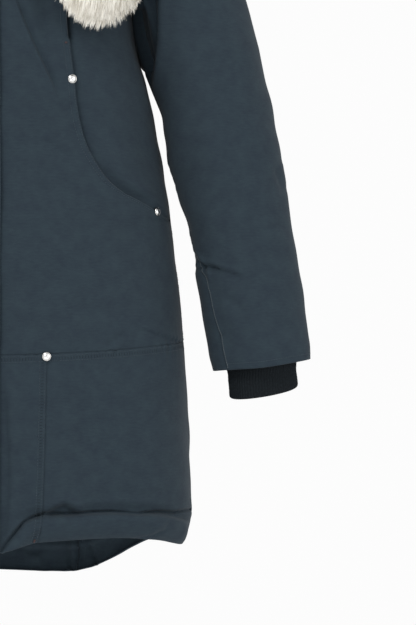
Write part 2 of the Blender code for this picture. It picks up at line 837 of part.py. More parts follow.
def hood_profile(stations, angle):
    """Points from the neck seam down the back, round the fold and up to the hood's free edge."""
    turn = math.radians(abs(angle))
    side = 1.0 if angle >= 0 else -1.0
    point, normal, into = neck_station(stations, angle)
    start = point + normal * HOOD_SEAT + into * (2 * WALL + 0.001)
    controls = [start, start + into * 0.012 + normal * 0.001]
    for column in (1, 3, 5, 7):
        radius, height = read(HOOD, abs(angle), column), read(HOOD, abs(angle), column + 1)
        controls.append(
            np.array((radius * math.sin(turn), radius * math.cos(turn) - 0.010, height))
        )
    cleared = []
    for x, y, z in spline(controls, 3):
        limit = back_depth(x, z)
        if limit is not None and y > 0.02:
            y = max(y, limit + HOOD_CLEARANCE)
        cleared.append(np.array((x * side, y, z)))
    return cleared


def spline(controls, steps):
    """Points on a Catmull-Rom curve through the controls, with this many steps between each pair."""
    ends = [2 * controls[0] - controls[1]] + list(controls) + [2 * controls[-1] - controls[-2]]
    points = []
    for a, b, c, d in zip(ends, ends[1:], ends[2:], ends[3:]):
        for step in range(steps):
            t = step / steps
            points.append(
                0.5 * (2 * b + (c - a) * t + (2 * a - 5 * b + 4 * c - d) * t**2
                       + (3 * b - a - 3 * c + d) * t**3)
            )
    points.append(np.array(controls[-1], dtype=float))
    return points


def make_hood(cloth):
    """The hood's two halves, as one surface cut at a seam along its centre."""
    half = neckline()
    angles = [HOOD[-1][0] * i / HOOD_COLUMNS for i in range(-HOOD_COLUMNS, HOOD_COLUMNS + 1)]
    grid = [hood_profile(half, angle) for angle in angles]
    rows = len(grid[0])
    normals = []
    for column in range(len(grid)):
        left, right = grid[max(column - 1, 0)], grid[min(column + 1, len(grid) - 1)]
        line = []
        for row in range(rows):
            along = grid[column][min(row + 1, rows - 1)] - grid[column][max(row - 1, 0)]
            across = right[row] - left[row]
            line.append(unit(np.cross(across, along)))
        normals.append(line)
    for name, picked, seam in (
        ("hood_right", range(HOOD_COLUMNS + 1), "far"),
        ("hood_left", range(HOOD_COLUMNS, 2 * HOOD_COLUMNS + 1), "near"),
    ):
        one, other = [], []
        for row in range(rows):
            one.append([grid[c][row] + normals[c][row] * WALL / 2 for c in picked])
            other.append([grid[c][row] - normals[c][row] * WALL / 2 for c in picked])
        solid(name, pull_in(one, (seam,)), pull_in(other, (seam,)), cloth)


def fur_stations():
    """Rows of centre, outward direction, half width and half thickness, for the left half."""
    rows = []
    for angle, level, clearance, width, thickness in FUR_ON_BODY:
        normal = outward(angle, level, False)
        centre = surface(angle, level, False) + normal * (thickness + clearance)
        rows.append(np.concatenate((centre, normal, (width, thickness))))
    half = neckline()
    for angle, steepness, width, thickness in FUR_ON_HOOD:
        edge = hood_profile(half, angle)[-1]
        turn, rise = math.radians(angle), math.radians(steepness)
        away = np.array((math.sin(turn), math.cos(turn), 0.0)) * math.cos(rise)
        away[2] = math.sin(rise)
        centre = edge + away * (thickness + WALL / 2 + FUR_OVER_HOOD)
        rows.append(np.concatenate((centre, away, (width, thickness))))
    return rows


def make_fur(fur):
    """One thick strip, lens shaped across, with rounded ends on the chest."""
    half = fur_stations()
    flip = np.array((-1, 1, 1, -1, 1, 1, 1, 1))
    stations = spline(half + [row * flip for row in half[-2::-1]], 2)
    centres = [row[:3] for row in stations]
    around = 12
    mesh = bmesh.new()
    rings = []
    for index, row in enumerate(stations):
        before, after = centres[max(index - 1, 0)], centres[min(index + 1, len(centres) - 1)]
        along = unit(after - before)
        across = unit(np.cross(row[3:6], along))
        out = unit(np.cross(along, across))
        ring = []
        for step in range(around):
            turn = 2 * math.pi * step / around
            width, rise = math.cos(turn) * row[6], math.sin(turn) * row[7]
            ring.append(mesh.verts.new(row[:3] + across * width + out * rise))
        rings.append(ring)
    for first, second in zip(rings, rings[1:]):
        for step in range(around):
            beside = (step + 1) % around
            mesh.faces.new((first[step], first[beside], second[beside], second[step]))
    for ring, neighbour, centre, inner in (
        (rings[0], rings[1], centres[0], centres[1]),
        (rings[-1], rings[-2], centres[-1], centres[-2]),
    ):
        beyond = unit(centre - inner)
        cap = [
            mesh.verts.new(centre + (np.array(v.co) - centre) * 0.62 + beyond * 0.010) for v in ring
        ]
        tip = mesh.verts.new(centre + beyond * 0.0145)
        for step in range(around):
            beside = (step + 1) % around
            mesh.faces.new((ring[step], ring[beside], cap[beside], cap[step]))
            mesh.faces.new((cap[step], cap[beside], tip))
    bmesh.ops.recalc_face_normals(mesh, faces=mesh.faces)
    add_object("fur_ruff", mesh, fur)


# Rivets.


def make_rivet(name, point, normal, metal):
    """A domed cap, turned about its own axis and stood on the cloth."""
    data = bpy.data.meshes.new(name)
    points = [(RIVET_RADIUS * radius, 0.0, RIVET_HEIGHT * height) for radius, height in RIVET_PROFILE]
    data.from_pydata(points, [(i, i + 1) for i in range(len(points) - 1)], [])
    data.materials.append(metal)
    obj = bpy.data.objects.new(name, data)
    obj.location = point
    obj.rotation_euler = Vector(normal).to_track_quat("Z", "Y").to_euler()
    turn = obj.modifiers.new("turn", "SCREW")
    turn.axis = "Z"
    turn.steps = turn.render_steps = RIVET_SIDES
    turn.use_merge_vertices = True
    turn.merge_threshold = 0.00001
    turn.use_smooth_shade = True
    bpy.data.collections["parka"].objects.link(obj)


def make_rivets(metal):
    for name, height, x in RIVETS:
        level = height - ARMPIT
        angle = angle_at(x, level, False)
        normal = outward(angle, level, False)
        point = surface(angle, level, False) + normal * SEAM
        flip = np.array((-1.0, 1.0, 1.0))
        make_rivet(f"{name}_left", point, normal, metal)
        make_rivet(f"{name}_right", point * flip, normal * flip, metal)


def main():
    clear_scene()
    parka = bpy.data.collections.new("parka")
    bpy.context.scene.collection.children.link(parka)
    cloth, fur, knit, metal = (make_material(name) for name in ("cloth", "fur", "knit", "metal"))
    make_body(cloth)
    make_placket(cloth)
    make_sleeves(cloth)
    make_cuffs(knit)
    make_collar(cloth)
    make_hood(cloth)
    make_fur(fur)
    make_rivets(metal)


main()
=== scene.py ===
# Looks of the fur trimmed parka: cloth shells with creases and topstitching, fur, rib knit and rivets.
# Lengths are in metres and angles in degrees unless a comment says otherwise.

import math
from functools import partial

import bpy
import numpy as np
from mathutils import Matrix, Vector


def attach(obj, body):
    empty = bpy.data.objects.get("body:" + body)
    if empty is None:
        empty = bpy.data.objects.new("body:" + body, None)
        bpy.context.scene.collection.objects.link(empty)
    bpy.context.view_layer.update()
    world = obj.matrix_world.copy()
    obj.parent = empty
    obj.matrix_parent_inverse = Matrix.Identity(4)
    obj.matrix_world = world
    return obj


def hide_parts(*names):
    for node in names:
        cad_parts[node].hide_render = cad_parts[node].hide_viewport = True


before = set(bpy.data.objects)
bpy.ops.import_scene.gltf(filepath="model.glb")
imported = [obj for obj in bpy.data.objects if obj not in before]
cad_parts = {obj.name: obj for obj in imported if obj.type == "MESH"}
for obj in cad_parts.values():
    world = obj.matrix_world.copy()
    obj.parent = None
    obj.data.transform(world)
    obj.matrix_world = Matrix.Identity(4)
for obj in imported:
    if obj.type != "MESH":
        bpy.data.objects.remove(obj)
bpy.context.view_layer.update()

X, Y, Z = np.eye(3)
SIDES = ((1, "left"), (-1, "right"))
FLIP = np.array((-1, 1, 1))

# Camera: level, square to the coat's front, beyond the wearer's left, as the coat is framed.
CAMERA = (0.276, -2.6, -0.614)
FIELD_HEIGHT = 0.75
PICTURE = (416, 625)

# Sizes and tables of the solids, in metres and degrees, repeated so that the shells lie on them.
WALL, SEAM, ARMPIT = 0.003, 0.0003, -0.249
SHOULDER_HALF, SHOULDER_TOP, SHOULDER_SLOPE = 0.23, 0.03, 0.4
NECK_ANGLE, FRONT_NECK, BACK_NECK = 19.2, 0.624, 0.828
SQUARENESS, CROSS_SEAM, CROSS_RISE = 0.12, -0.663, 0.014
PLACKET_HALF, PLACKET_TOP = 0.0375, 0.54
# height, half width, front depth, back depth
BODY = (
    (-0.96, 0.2535, 0.136, 0.14), (-0.85, 0.2558, 0.134, 0.138), (-0.72, 0.252, 0.13, 0.136),
    (-0.648, 0.2468, 0.128, 0.134), (-0.576, 0.2394, 0.124, 0.128), (-0.52, 0.2318, 0.121, 0.12),
    (-0.465, 0.2246, 0.119, 0.112), (-0.412, 0.2168, 0.12, 0.106), (-0.385, 0.2128, 0.122, 0.105),
    (-0.36, 0.2078, 0.125, 0.105), (-0.335, 0.201, 0.1275, 0.106), (-0.31, 0.1928, 0.13, 0.108),
    (-0.28, 0.185, 0.131, 0.111), (-0.249, 0.1825, 0.132, 0.114),
)
# angle right round from the centre front, height of the hem
HEM = (
    (0, -0.89), (9, -0.886), (17, -0.877), (37, -0.8735), (54, -0.878), (75, -0.888),
    (90, -0.89), (126, -0.893), (131, -0.8965), (138, -0.907), (143, -0.9174), (148, -0.927),
    (152, -0.934), (160, -0.94), (180, -0.938),
)
# height above the hem, how far the rolled hem stands out in front and behind, and at the sides
HEM_ROLL = (
    (0, -0.004, -0.0105), (0.006, 0.001, -0.008), (0.017, 0.0045, -0.0052),
    (0.026, 0.0034, -0.0032), (0.032, -0.0048, -0.0022), (0.044, -0.0012, -0.0004), (0.07, 0, 0),
)
# height, x of the pocket's edge
POCKET_EDGE = (
    (-0.503, 0.2265), (-0.4953, 0.2151), (-0.4855, 0.2001), (-0.4724, 0.1756), (-0.459, 0.1599),
    (-0.439, 0.1459), (-0.418, 0.1359), (-0.39, 0.1282), (-0.367, 0.1244), (-0.349, 0.1227),
    (-0.327, 0.12), (-0.2726, 0.1144), (-0.249, 0.1135),
)
# angle of the front's side seam at the armpit and at the shoulder
PRINCESS = (34.5, 38)
# height, x of the seams between the lower panels
LOWER_FRONT_SEAM = ((-0.89, 0.078), (-0.845, 0.0875), (-0.649, 0.0925))
LOWER_BACK_SEAM = ((-0.945, 0.112), (-0.649, 0.124))
# level, angle of the armhole's front and back edge
ARMHOLE = (
    (0, 90, 90), (0.015, 81, 81.5), (0.04, 75, 75.5), (0.12, 66, 67), (0.25, 60, 61.5),
    (0.42, 57, 59), (0.6, 57, 59.5), (0.75, 59, 61.5), (0.88, 62, 64), (0.96, 65, 66),
    (1, 67, 67),
)
# place, centre x, y, z, half width, half depth
SLEEVE = (
    (0, 0.2687, -0.004, -0.314, 0.0712, 0.06), (1, 0.2823, -0.005, -0.362, 0.0662, 0.058),
    (2, 0.2933, -0.006, -0.415, 0.0668, 0.056), (3, 0.3048, -0.008, -0.469, 0.064, 0.054),
    (4, 0.3172, -0.011, -0.522, 0.0599, 0.051), (5, 0.3253, -0.015, -0.576, 0.0617, 0.049),
    (6, 0.3326, -0.02, -0.629, 0.0608, 0.045), (7, 0.34, -0.026, -0.678, 0.058, 0.04),
)
SLEEVE_TILT, SLEEVE_TILT_STEP, SLEEVE_SEAT, SLEEVE_STUB = 13.5, 0.6, 0.0015, 0.0028
CAP_REACH, CAP_EASE, UNDERARM_EASE, CAP_ARRIVAL = 0.206, 0.008, 0.01, 0.8
CAP_STEPS = (0, 0.12, 0.27, 0.45, 0.64, 0.83, 1)
# row (1 to 7 down the cap, 7 + place below it), turns of the under sleeve's front and back seam
SLEEVE_SEAMS = (
    (0, 172, 214), (8, 174, 224), (10.8, 176, 232), (11.5, 159, 234), (11.9, 144, 236),
    (12.6, 140, 240), (13.2, 135, 242), (15, 134, 245),
)
# place below the sleeve's hem, half width, half depth, how far its front hangs down
CUFF = ((-0.022, 0.0528, 0.0345, 0), (-0.01, 0.042, 0.027, 0), (0.012, 0.04, 0.025, 0.003),
        (0.031, 0.0405, 0.025, 0.009))
CUFF_TILT, CUFF_SHIFT = 6.5, 0.0015
COLLAR_TOP = (0.01, 0.05, 0.046)
# angle right round from the centre back, and radius and height of four points from the seat to the edge
HOOD = (
    (0, 0.128, -0.1, 0.16, -0.218, 0.236, -0.14, 0.23, -0.04),
    (30, 0.13, -0.085, 0.166, -0.19, 0.232, -0.125, 0.228, -0.034),
    (55, 0.13, -0.04, 0.17, -0.105, 0.218, -0.075, 0.212, -0.022),
    (78, 0.112, -0.009, 0.142, -0.022, 0.172, -0.024, 0.168, -0.01),
    (98, 0.096, -0.002, 0.112, -0.008, 0.13, -0.014, 0.136, -0.014),
)
HOOD_CLEARANCE, HOOD_SEAT = 0.0065, 0.0032
# angle, level, clearance, half width, half thickness
FUR_ON_BODY = (
    (45.5, -0.031, 0.002, 0.029, 0.017), (44.5, -0.004, 0.002, 0.043, 0.024),
    (44, 0.23, 0.002, 0.048, 0.026), (43.5, 0.5, 0.003, 0.049, 0.027),
    (42.5, 0.74, 0.006, 0.048, 0.027), (41, 0.93, 0.01, 0.047, 0.027),
)
# angle, steepness, half width, half thickness
FUR_ON_HOOD = (
    (86, 68, 0.047, 0.027), (64, 50, 0.048, 0.027), (42, 36, 0.05, 0.027),
    (20, 28, 0.052, 0.027), (0, 26, 0.052, 0.027),
)
FUR_OVER_HOOD = 0.0025
# Where the hair on the chest ends, and its thickness and reach to the sides at a distance up from there.
FUR_END_AT = -0.0125
FUR_END = ((0, 0.006, 0.057), (0.012, 0.014, 0.057), (0.03, 0.02, 0.057), (0.06, 0.023, 0.056),
           (0.2, 0.026, 0.052))
# Picture column, and the row down to which the left chest's hair reaches there.
FUR_EDGE = (
    (40, -60), (46, -14), (51, 0), (57, 5), (62, 10), (66, 15), (70, 19), (74, 24), (78, 27.5), (83, 30),
    (88, 31.5), (95, 32), (101, 32), (106, 31.5), (111, 30), (116, 28.5), (121, 26), (127, 22), (131, 19),
    (135, 15), (138.5, 10), (140, 4), (143, -12), (152, -60),
)

# name, height, x
RIVETS = (
    ("rivet_pocket_top", -0.3456, 0.1198), ("rivet_pocket_end", -0.4956, 0.2155),
    ("rivet_cross_seam", -0.6644, 0.0914),
)
RIVET_RADIUS, RIVET_HEIGHT = 0.0052, 0.0034
# radius and height of the turned cap's rings from its crown outward, as shares of those two
RIVET_PROFILE = (
    (0.14, 0.995), (0.3, 0.965), (0.46, 0.9), (0.6, 0.8), (0.7, 0.7), (0.76, 0.6), (0.8, 0.54),
    (0.85, 0.56), (0.91, 0.55), (0.97, 0.46), (1, 0.32), (0.99, 0.16), (0.95, 0),
)

# Spacing of a shell's points on the side in view and elsewhere, and the strength of creases on the right.
STEP_IN_VIEW, STEP_HIDDEN, RIGHT_SHARE = 0.0022, 0.0042, 0.8
OPPOSITE = {"near": "far", "far": "near"}
# how far the rows round an edge lie out and down, and the rows of a flap turned in, by distance and depth
EDGE_ROUNDED = ((0.00035, 0.0006), (0.0004, 0.0016), (0.0001, WALL))
EDGE_TURNED = ((0.0007, 0.0006), (0.001, 0.0016), (0.0006, 0.0027))
FLAP = ((0.0025, WALL), (0.0045, WALL - 0.0003), (0.0062, WALL - 0.0012), (0.007, 0.001))
# heights of the pocket edge's lower end and of the start of its parted slit
POCKET_LOW, SLIT_START = -0.503, -0.304
# the cuff's ribs, its lowest and highest row, and the place and depth of the rows round its folded edge
CUFF_RIBS, RIB_STEPS, KNIT_ROW, CUFF_ENDS, CUFF_FLAT = 74, 4, 0.0032, (-0.022, 0.0268), (0.214, 0.078)
CUFF_FOLD = ((0.0276, -0.0004), (0.028, -0.0012), (0.0276, -0.0022), (0.0266, -0.0028), (0.023, -0.003),
             (0.016, -0.003))
# levels of points along the neckline, in front and behind
NECK_LEVELS = ((0.624, 0.65, 0.7, 0.77, 0.85, 0.92, 0.97, 0.992, 1), (0.995, 0.98, 0.94, 0.89, 0.85, 0.828))
COLLAR_LEAN, HOOD_CENTRE = 0.005, -0.01
UNDERFUR_INSET, UNDERFUR_WIDTH, UNDERFUR_THICKNESS = 0.024, 0.8, 0.62
# Picture columns from lock to lock, and points of a hair along it with its half width there.
LOCK_PITCH, HAIR_SHARES, HAIR_TAPER = 2.9, (0, 0.36, 0.8, 1), (1, 0.95, 0.85)

# Rows of stitches: piece, edge and distances from it.
TWIN_HIGH, TWIN_SIDE, SINGLE = (0.0022, 0.0082), (0.002, 0.008), (0.002,)
STITCHED = (
    ("front_lower", "high", TWIN_HIGH), ("front_skirt", "high", TWIN_HIGH), ("front_lower", "far", TWIN_SIDE),
    ("front_center", "far", TWIN_SIDE), ("sleeve_upper", "near", SINGLE), ("back_lower", "high", TWIN_HIGH),
    ("back_lower", "near", TWIN_SIDE), ("back_upper", "near", SINGLE), ("sleeve_upper", "low", (0.0065,)),
)

# Colours, linear.
CLOTH, CLOTH_DARK, CLOTH_LIGHT = (0.0187, 0.0292, 0.0389), (0.865, 0.85, 0.89), (1.135, 1.15, 1.1)
KNIT, METAL = (0.0071, 0.0094, 0.0114), (0.86, 0.86, 0.85)
THREADS = (
    ("thread", (0.042, 0.057, 0.069)), ("thread_pink", (0.105, 0.06, 0.056)),
    # The darkest colour below is painted shade for the dents pressed between twin rows of stitches.
    # The pale thread below is a painted highlight along the upper sleeve's folded seam edge.
    ("painted_dent_shade", (0.0085, 0.0135, 0.018)), ("thread_painted_highlight", (0.08, 0.098, 0.108)),
)
FUR_ROOTS, FUR_TIPS = (0.58, 0.54, 0.47), (0.925, 0.905, 0.845)
UNDERFUR_ROOTS, UNDERFUR_TIPS = (0.6, 0.56, 0.49), (0.78, 0.75, 0.68)
FUR_TONES = ((0.08, (0.4, 0.36, 0.3)), (0.4, (0.88, 0.86, 0.82)), (0.7, (1, 1, 1)))
# Rings painted on the rivet caps by the share out from the crown: painted dark reflections and painted shade
# in the groove between crown and rim and where the collar meets the cloth.
RIVET_PAINTED_REFLECTIONS = (
    (0.42, (1, 1, 1)), (0.52, (0.3, 0.28, 0.26)), (0.58, (0.22, 0.2, 0.19)), (0.66, (0.95, 0.94, 0.92)),
    (0.8, (0.8, 0.79, 0.77)), (0.92, (0.1, 0.1, 0.1)),
)

FLOOR_HALF, FLOOR_HEIGHT = 1.1, -1.25

# Numbers.


def smooth(x):
    x = np.clip(x, 0, 1)
    return x * x * (3 - 2 * x)


def unit(v):
    return v / np.maximum(np.linalg.norm(v, axis=-1, keepdims=True), 1e-12)


def bell(x, power=2):
    return np.exp(-(x**power))


def sine_cosine(degrees):
    return np.sin(np.radians(degrees)), np.cos(np.radians(degrees))


def hermite(start, leave, end, arrive, s):
    return (start * (2 * s**3 - 3 * s**2 + 1) + leave * (s**3 - 2 * s**2 + s)
            + end * (3 * s**2 - 2 * s**3) + arrive * (s**3 - s**2))


def read(table, key, column):
    """A column at key, on a smooth curve through the rows that never overshoots."""
    t = np.asarray(table, float)
    at, value = t[:, 0], t[:, column]
    step = np.diff(value) / np.diff(at)
    slope = np.concatenate(([step[0]], np.zeros(len(at) - 2), [step[-1]]))
    both = step[:-1] * step[1:]
    turning = both > 0
    slope[1:-1][turning] = 2 * both[turning] / (step[:-1] + step[1:])[turning]
    key = np.clip(key, at[0], at[-1])
    i = np.clip(np.searchsorted(at, key, side="right") - 1, 0, len(at) - 2)
    h = at[i + 1] - at[i]
    return hermite(value[i], h * slope[i], value[i + 1], h * slope[i + 1], (key - at[i]) / h)


def interp(key, at, values):
    """Each column of values at key, straight between the rows."""
    return np.stack([np.interp(key, at, values[:, k]) for k in range(values.shape[1])], axis=-1)


def spaced(start, end, step):
    return np.linspace(start, end, max(int(round(abs(end - start) / step)), 1) + 1)


def waves(points, seed, size, count=9):
    """Gentle unevenness between -1 and 1, of about this size."""
    r = np.random.default_rng(seed)
    total = np.zeros(points.shape[:-1])
    for _ in range(count):
        way = unit(r.normal(size=3)) * 2 * math.pi / (size * r.uniform(0.7, 1.6))
        total += np.sin(points @ way + r.uniform(0, 6.3))
    return total / count**0.5


def surface(angle, level, rear):
    """Points of the body at an angle from the centre line and a level: metres under the armpit up to 0,
    then 0 to 1 from the armpit to the shoulder."""
    angle, level = np.broadcast_arrays(np.asarray(angle, float), np.asarray(level, float))
    sine, cosine = sine_cosine(angle)
    column = 3 if rear else 2
    up, low, above = np.clip(level, 0, 1), ARMPIT + np.minimum(level, 0), level > 0
    half = np.where(above, BODY[-1][1] + (SHOULDER_HALF - BODY[-1][1]) * smooth(up), read(BODY, low, 1))
    square = SQUARENESS * (1 - up)
    top = SHOULDER_TOP - SHOULDER_SLOPE * SHOULDER_HALF * np.abs(sine)
    middle = 1 - smooth(np.abs(angle) / 50)
    power, root = (3 - 0.6 * middle, 0.5 + 0.1 * middle) if rear else (3 - 1.1 * middle, 0.5 + 0.25 * middle)
    closing = np.clip(1 - up**power, 0, 1) ** root
    depth = np.where(above, BODY[-1][column] * closing, read(BODY, low, column))
    x = half * sine * (1 + square * cosine**2)
    y = depth * cosine * (1 + square * sine**2)
    return np.stack((x, y if rear else -y, np.where(above, ARMPIT + (top - ARMPIT) * up, low)), axis=-1)


def outward(angle, level, rear):
    """Unit normals there. On the shoulder seam front and back share one that points straight up."""
    angle, level = np.broadcast_arrays(np.asarray(angle, float), np.asarray(level, float))
    top = (level > 0.9995)[..., None]
    low = np.where(level > 0.9995, level - 0.0002, level - 0.002)
    across = surface(angle + 0.5, level, rear) - surface(angle - 0.5, level, rear)
    side = np.where(angle >= 0, 1, -1)
    slope = np.stack((np.ones_like(side), np.zeros_like(side), -SHOULDER_SLOPE * side), axis=-1)
    across = np.where(top, slope, across)
    along = surface(angle, np.minimum(level + 0.002, 1), rear) - surface(angle, low, rear)
    normal = unit(np.cross(across, along)) * (-1 if rear else 1)
    return np.where(top, unit(normal * (X + Z)), normal)


def angle_at(x, level, rear):
    """The angle whose point has this x."""
    x, level = np.broadcast_arrays(np.asarray(x, float), np.asarray(level, float))
    low, high = np.zeros(x.shape), np.full(x.shape, 90)
    for _ in range(26):
        middle = (low + high) / 2
        less = surface(middle, level, rear)[..., 0] < x
        low, high = np.where(less, middle, low), np.where(less, high, middle)
    return (low + high) / 2


def picture(points):
    """Where points lie in the camera's picture, in pixels from its upper left."""
    pixel = FIELD_HEIGHT / PICTURE[1] * (points[..., 1] - CAMERA[1]) / -CAMERA[1]
    across = PICTURE[0] / 2 + (points[..., 0] - CAMERA[0]) / pixel
    down = PICTURE[1] / 2 - (points[..., 2] - CAMERA[2]) / pixel
    return np.stack((across, down), axis=-1)


# Creases. Each has a depth in mm, above 0 for a ridge and below for a groove, a half width in the units
# of its points, and a line of points. A step stands proud on its left and falls off on its right, and a
# fold is a groove on its right with a ridge along its left.

# Lines in the picture's pixels, where the camera sees the wearer's left front and sleeve.
HEM_FOLD = (
    (222, 505), (190, 509.5), (177, 512.5), (159, 511.8), (140, 514), (112, 512), (93, 512.7), (70, 514.4),
    (45.5, 513.6), (35, 517), (23, 523), (11.7, 537), (3.5, 547.5), (-14, 566),
)
ELBOW = ((186, 256), (196, 260), (207, 265), (216, 268), (226, 271), (236, 274), (248, 278))
SLEEVE_EDGE = ((195, 247), (199, 254), (203, 260), (206, 265), (209, 274), (210, 284))
HEM_BAND = (
    (222, 511), (190, 515), (177, 518.5), (159, 517.5), (140, 520), (112, 518), (93, 518.7), (70, 520.5),
    (50, 521), (38, 527), (26, 535), (16, 546), (4, 556),
)
FRONT_CREASES = (
    ("step", 3, 3.6, ((62, 100), (55, 88), (46, 68), (34, 42), (23, 16), (12, -14))),
    (-1.9, 1.3, ((64, 102), (56, 88), (47, 68), (35, 42), (24, 16), (13, -14))),
    (-4, 13, ((52, 70), (48, 34), (46, 6), (44, -60))),
    (1.2, 9, ((30, 70), (18, 44), (8, 16), (2, -8))),
    (-0.9, 6, ((62, 92), (74, 118), (92, 150), (112, 172))),
    (1.3, 12, ((30, 60), (44, 100), (60, 150), (66, 200))),
    ("step", 1, 5, ((42, 134), (52, 142), (64, 150), (78, 158))),
    (-1.1, 12, ((10, 130), (40, 190), (90, 240), (150, 262))),
    (1.3, 14, ((20, 210), (70, 262), (130, 290))),
    (-1, 8, ((96, 194), (120, 222), (150, 238))),
    ("fold", 1.5, 2.2, ((134, 327), (150, 331), (168, 337), (188, 344))),
    (-1.5, 2.6, ((104, 350), (110, 343), (118, 337), (130, 331))),
    (1, 3.6, ((114, 349), (122, 343), (134, 338))),
    (-0.9, 8, ((60, 300), (100, 312), (140, 318))),
    (1, 12, ((20, 310), (50, 322), (90, 326))),
    (1.1, 10, ((104, 60), (108, 110), (124, 150), (140, 176))),
    (-3, 4.5, ((100, 162), (112, 178), (126, 190), (142, 197), (158, 204))),
    (1.2, 5, ((112, 164), (128, 180), (146, 190), (158, 196))),
    (-1.8, 8, ((126, 40), (133, 90), (146, 150), (158, 196))),
)
SKIRT_CREASES = (
    (-5.5, 1.35, HEM_FOLD),
    (1.5, 4, HEM_BAND),
    ("step", 4.4, 6.2, ((40, 521), (48, 514.5), (56, 508.5), (64.5, 504.5), (70, 508), (78, 513), (88, 517))),
    (-1.8, 2.2, ((46, 516), (54, 510.5), (64, 506.5), (70, 510), (80, 514))),
    (1.2, 2.6, ((50, 507), (57, 501), (65, 498.5), (75, 503), (86, 508))),
    (-2.4, 2.6, ((50, 508), (40, 516), (25, 521.5), (13, 535), (2, 549), (-8, 560))),
    (1.8, 4, ((40, 524), (28, 535), (18, 546), (10, 556))),
    (-1.4, 1.6, ((124, 542), (142, 538), (153, 535), (166, 529))),
    (1.2, 4, ((146, 520), (152, 524), (164, 530))),
    (-0.9, 8, ((60, 380), (90, 372), (130, 366), (170, 356))),
    (1, 16, ((120, 380), (150, 400), (176, 440))),
    (-0.8, 12, ((70, 420), (100, 450), (110, 490))),
    (-2.8, 3.4, ((2, 370), (5, 410), (6.5, 450), (7, 490), (5, 520), (2, 560))),
    ("step", 0.9, 4, ((150, 536), (158, 528), (168, 520))),
    (-0.9, 5, ((176, 540), (180, 526), (190, 516))),
    (-1, 5, ((96, 498), (118, 492), (150, 496), (180, 490))),
)
SLEEVE_CREASES = (
    ("step", 2.8, 3.2, ELBOW), (-2.2, 1.4, ELBOW),
    (-4, 2, ((188, 268), (197, 269), (205, 267), (212, 267), (222, 270))),
    (2.6, 1.1, SLEEVE_EDGE), (-2.4, 1.7, [(x - 3.2, y + 3) for x, y in SLEEVE_EDGE]),
    (-1.6, 4, ((222, 296), (229, 299), (236, 304), (243, 314))),
    (1.1, 6, ((222, 312), (232, 320), (240, 334))),
    (-2, 3, ((274, 166), (278, 176), (281, 183), (285, 196))),
    (1.4, 3.4, ((280, 160), (284, 174), (288, 188))),
    (-0.9, 9, ((214, 50), (222, 90), (232, 120), (250, 150))),
    (1.1, 12, ((180, 20), (190, 80), (206, 130), (214, 180))),
    (-1.4, 8, ((190, 116), (200, 108), (216, 100), (232, 84))),
    (-1.1, 8, ((176, 172), (196, 178), (216, 170))),
    (0.9, 9, ((196, 214), (220, 226), (246, 222))),
    (-1.2, 3, ((292, 226), (280, 226), (268, 229), (256, 236))),
    (-0.9, 7, ((268, 322), (282, 330), (298, 330))),
    (0.8, 7, ((250, 346), (274, 344), (300, 338))),
    (-1.4, 2.4, ((212, 352), (219, 340), (224, 330))),
)
# Lines on the back and on the hidden sides of the sleeves, as (x, z) in metres.
BACK_CREASES = (
    (-2, 0.014, ((0.02, -0.3), (0.07, -0.34), (0.13, -0.36), (0.19, -0.35))),
    (1.6, 0.016, ((0, -0.37), (0.08, -0.39), (0.16, -0.4))),
    (-1.6, 0.012, ((-0.03, -0.45), (-0.1, -0.44), (-0.18, -0.41))),
    ("step", 1.5, 0.01, ((-0.18, -0.3), (-0.11, -0.34), (-0.05, -0.39))),
    (-1.3, 0.014, ((0.03, -0.52), (0.1, -0.51), (0.17, -0.48))),
    (1.3, 0.02, ((-0.12, -0.5), (-0.04, -0.56), (0.05, -0.6))),
    (-1.6, 0.01, ((0.12, -0.26), (0.15, -0.31), (0.17, -0.37))),
    (-1.4, 0.01, ((-0.13, -0.25), (-0.155, -0.31), (-0.18, -0.36))),
    (-1.5, 0.012, ((-0.2, -0.72), (-0.12, -0.75), (-0.03, -0.74))),
    (1.2, 0.018, ((0.02, -0.7), (0.1, -0.76), (0.2, -0.78))),
    ("step", 1.6, 0.008, ((-0.11, -0.88), (-0.05, -0.895), (0.03, -0.9), (0.1, -0.89))),
    (4.6, 0.0026, ((0.1235, -0.888), (0.1245, -0.903), (0.1295, -0.918), (0.137, -0.932), (0.146, -0.945))),
    (3, 0.003, ((0.1, -0.89), (0.098, -0.915), (0.101, -0.93), (0.104, -0.945))),
    (-2.4, 0.005, ((0.106, -0.89), (0.106, -0.915), (0.11, -0.93), (0.112, -0.945))),
    (2, 0.006, ((0.03, -0.905), (0.055, -0.915), (0.08, -0.905))),
    (-1.8, 0.006, ((0.075, -0.945), (0.062, -0.925), (0.045, -0.92))),
    (-1.8, 0.006, ((0.14, -0.935), (0.152, -0.905), (0.17, -0.885))),
)
# Picture row, and the column of the edge between the sleeve's lit front and its inner face under the arm.
ARM_EDGE = ((-90, 163), (0, 158.5), (40, 158), (62, 156), (80, 153), (130, 162))
# Dents (negative) and bulges of the inner edge: height, half height in metres, depth in mm, turn.
ARM_DENTS = (
    (-0.382, 0.012, -1.5, 180), (-0.432, 0.014, 2.4, 184), (-0.505, 0.016, -2.2, 182),
    (-0.565, 0.014, 1.6, 184),
)
ARM_CREASES = (
    (-1.8, 0.008, ((0.24, -0.46), (0.28, -0.475), (0.33, -0.49))),
    (1.3, 0.01, ((0.25, -0.44), (0.29, -0.452), (0.34, -0.46))),
    (-1.6, 0.008, ((0.26, -0.52), (0.3, -0.525), (0.35, -0.515))),
    (-1.4, 0.012, ((0.21, -0.24), (0.25, -0.29), (0.28, -0.35))),
    ("step", 1.3, 0.008, ((0.3, -0.6), (0.34, -0.615), (0.38, -0.6))),
    (1.2, 0.012, ((0.23, -0.34), (0.27, -0.38), (0.31, -0.4))),
)


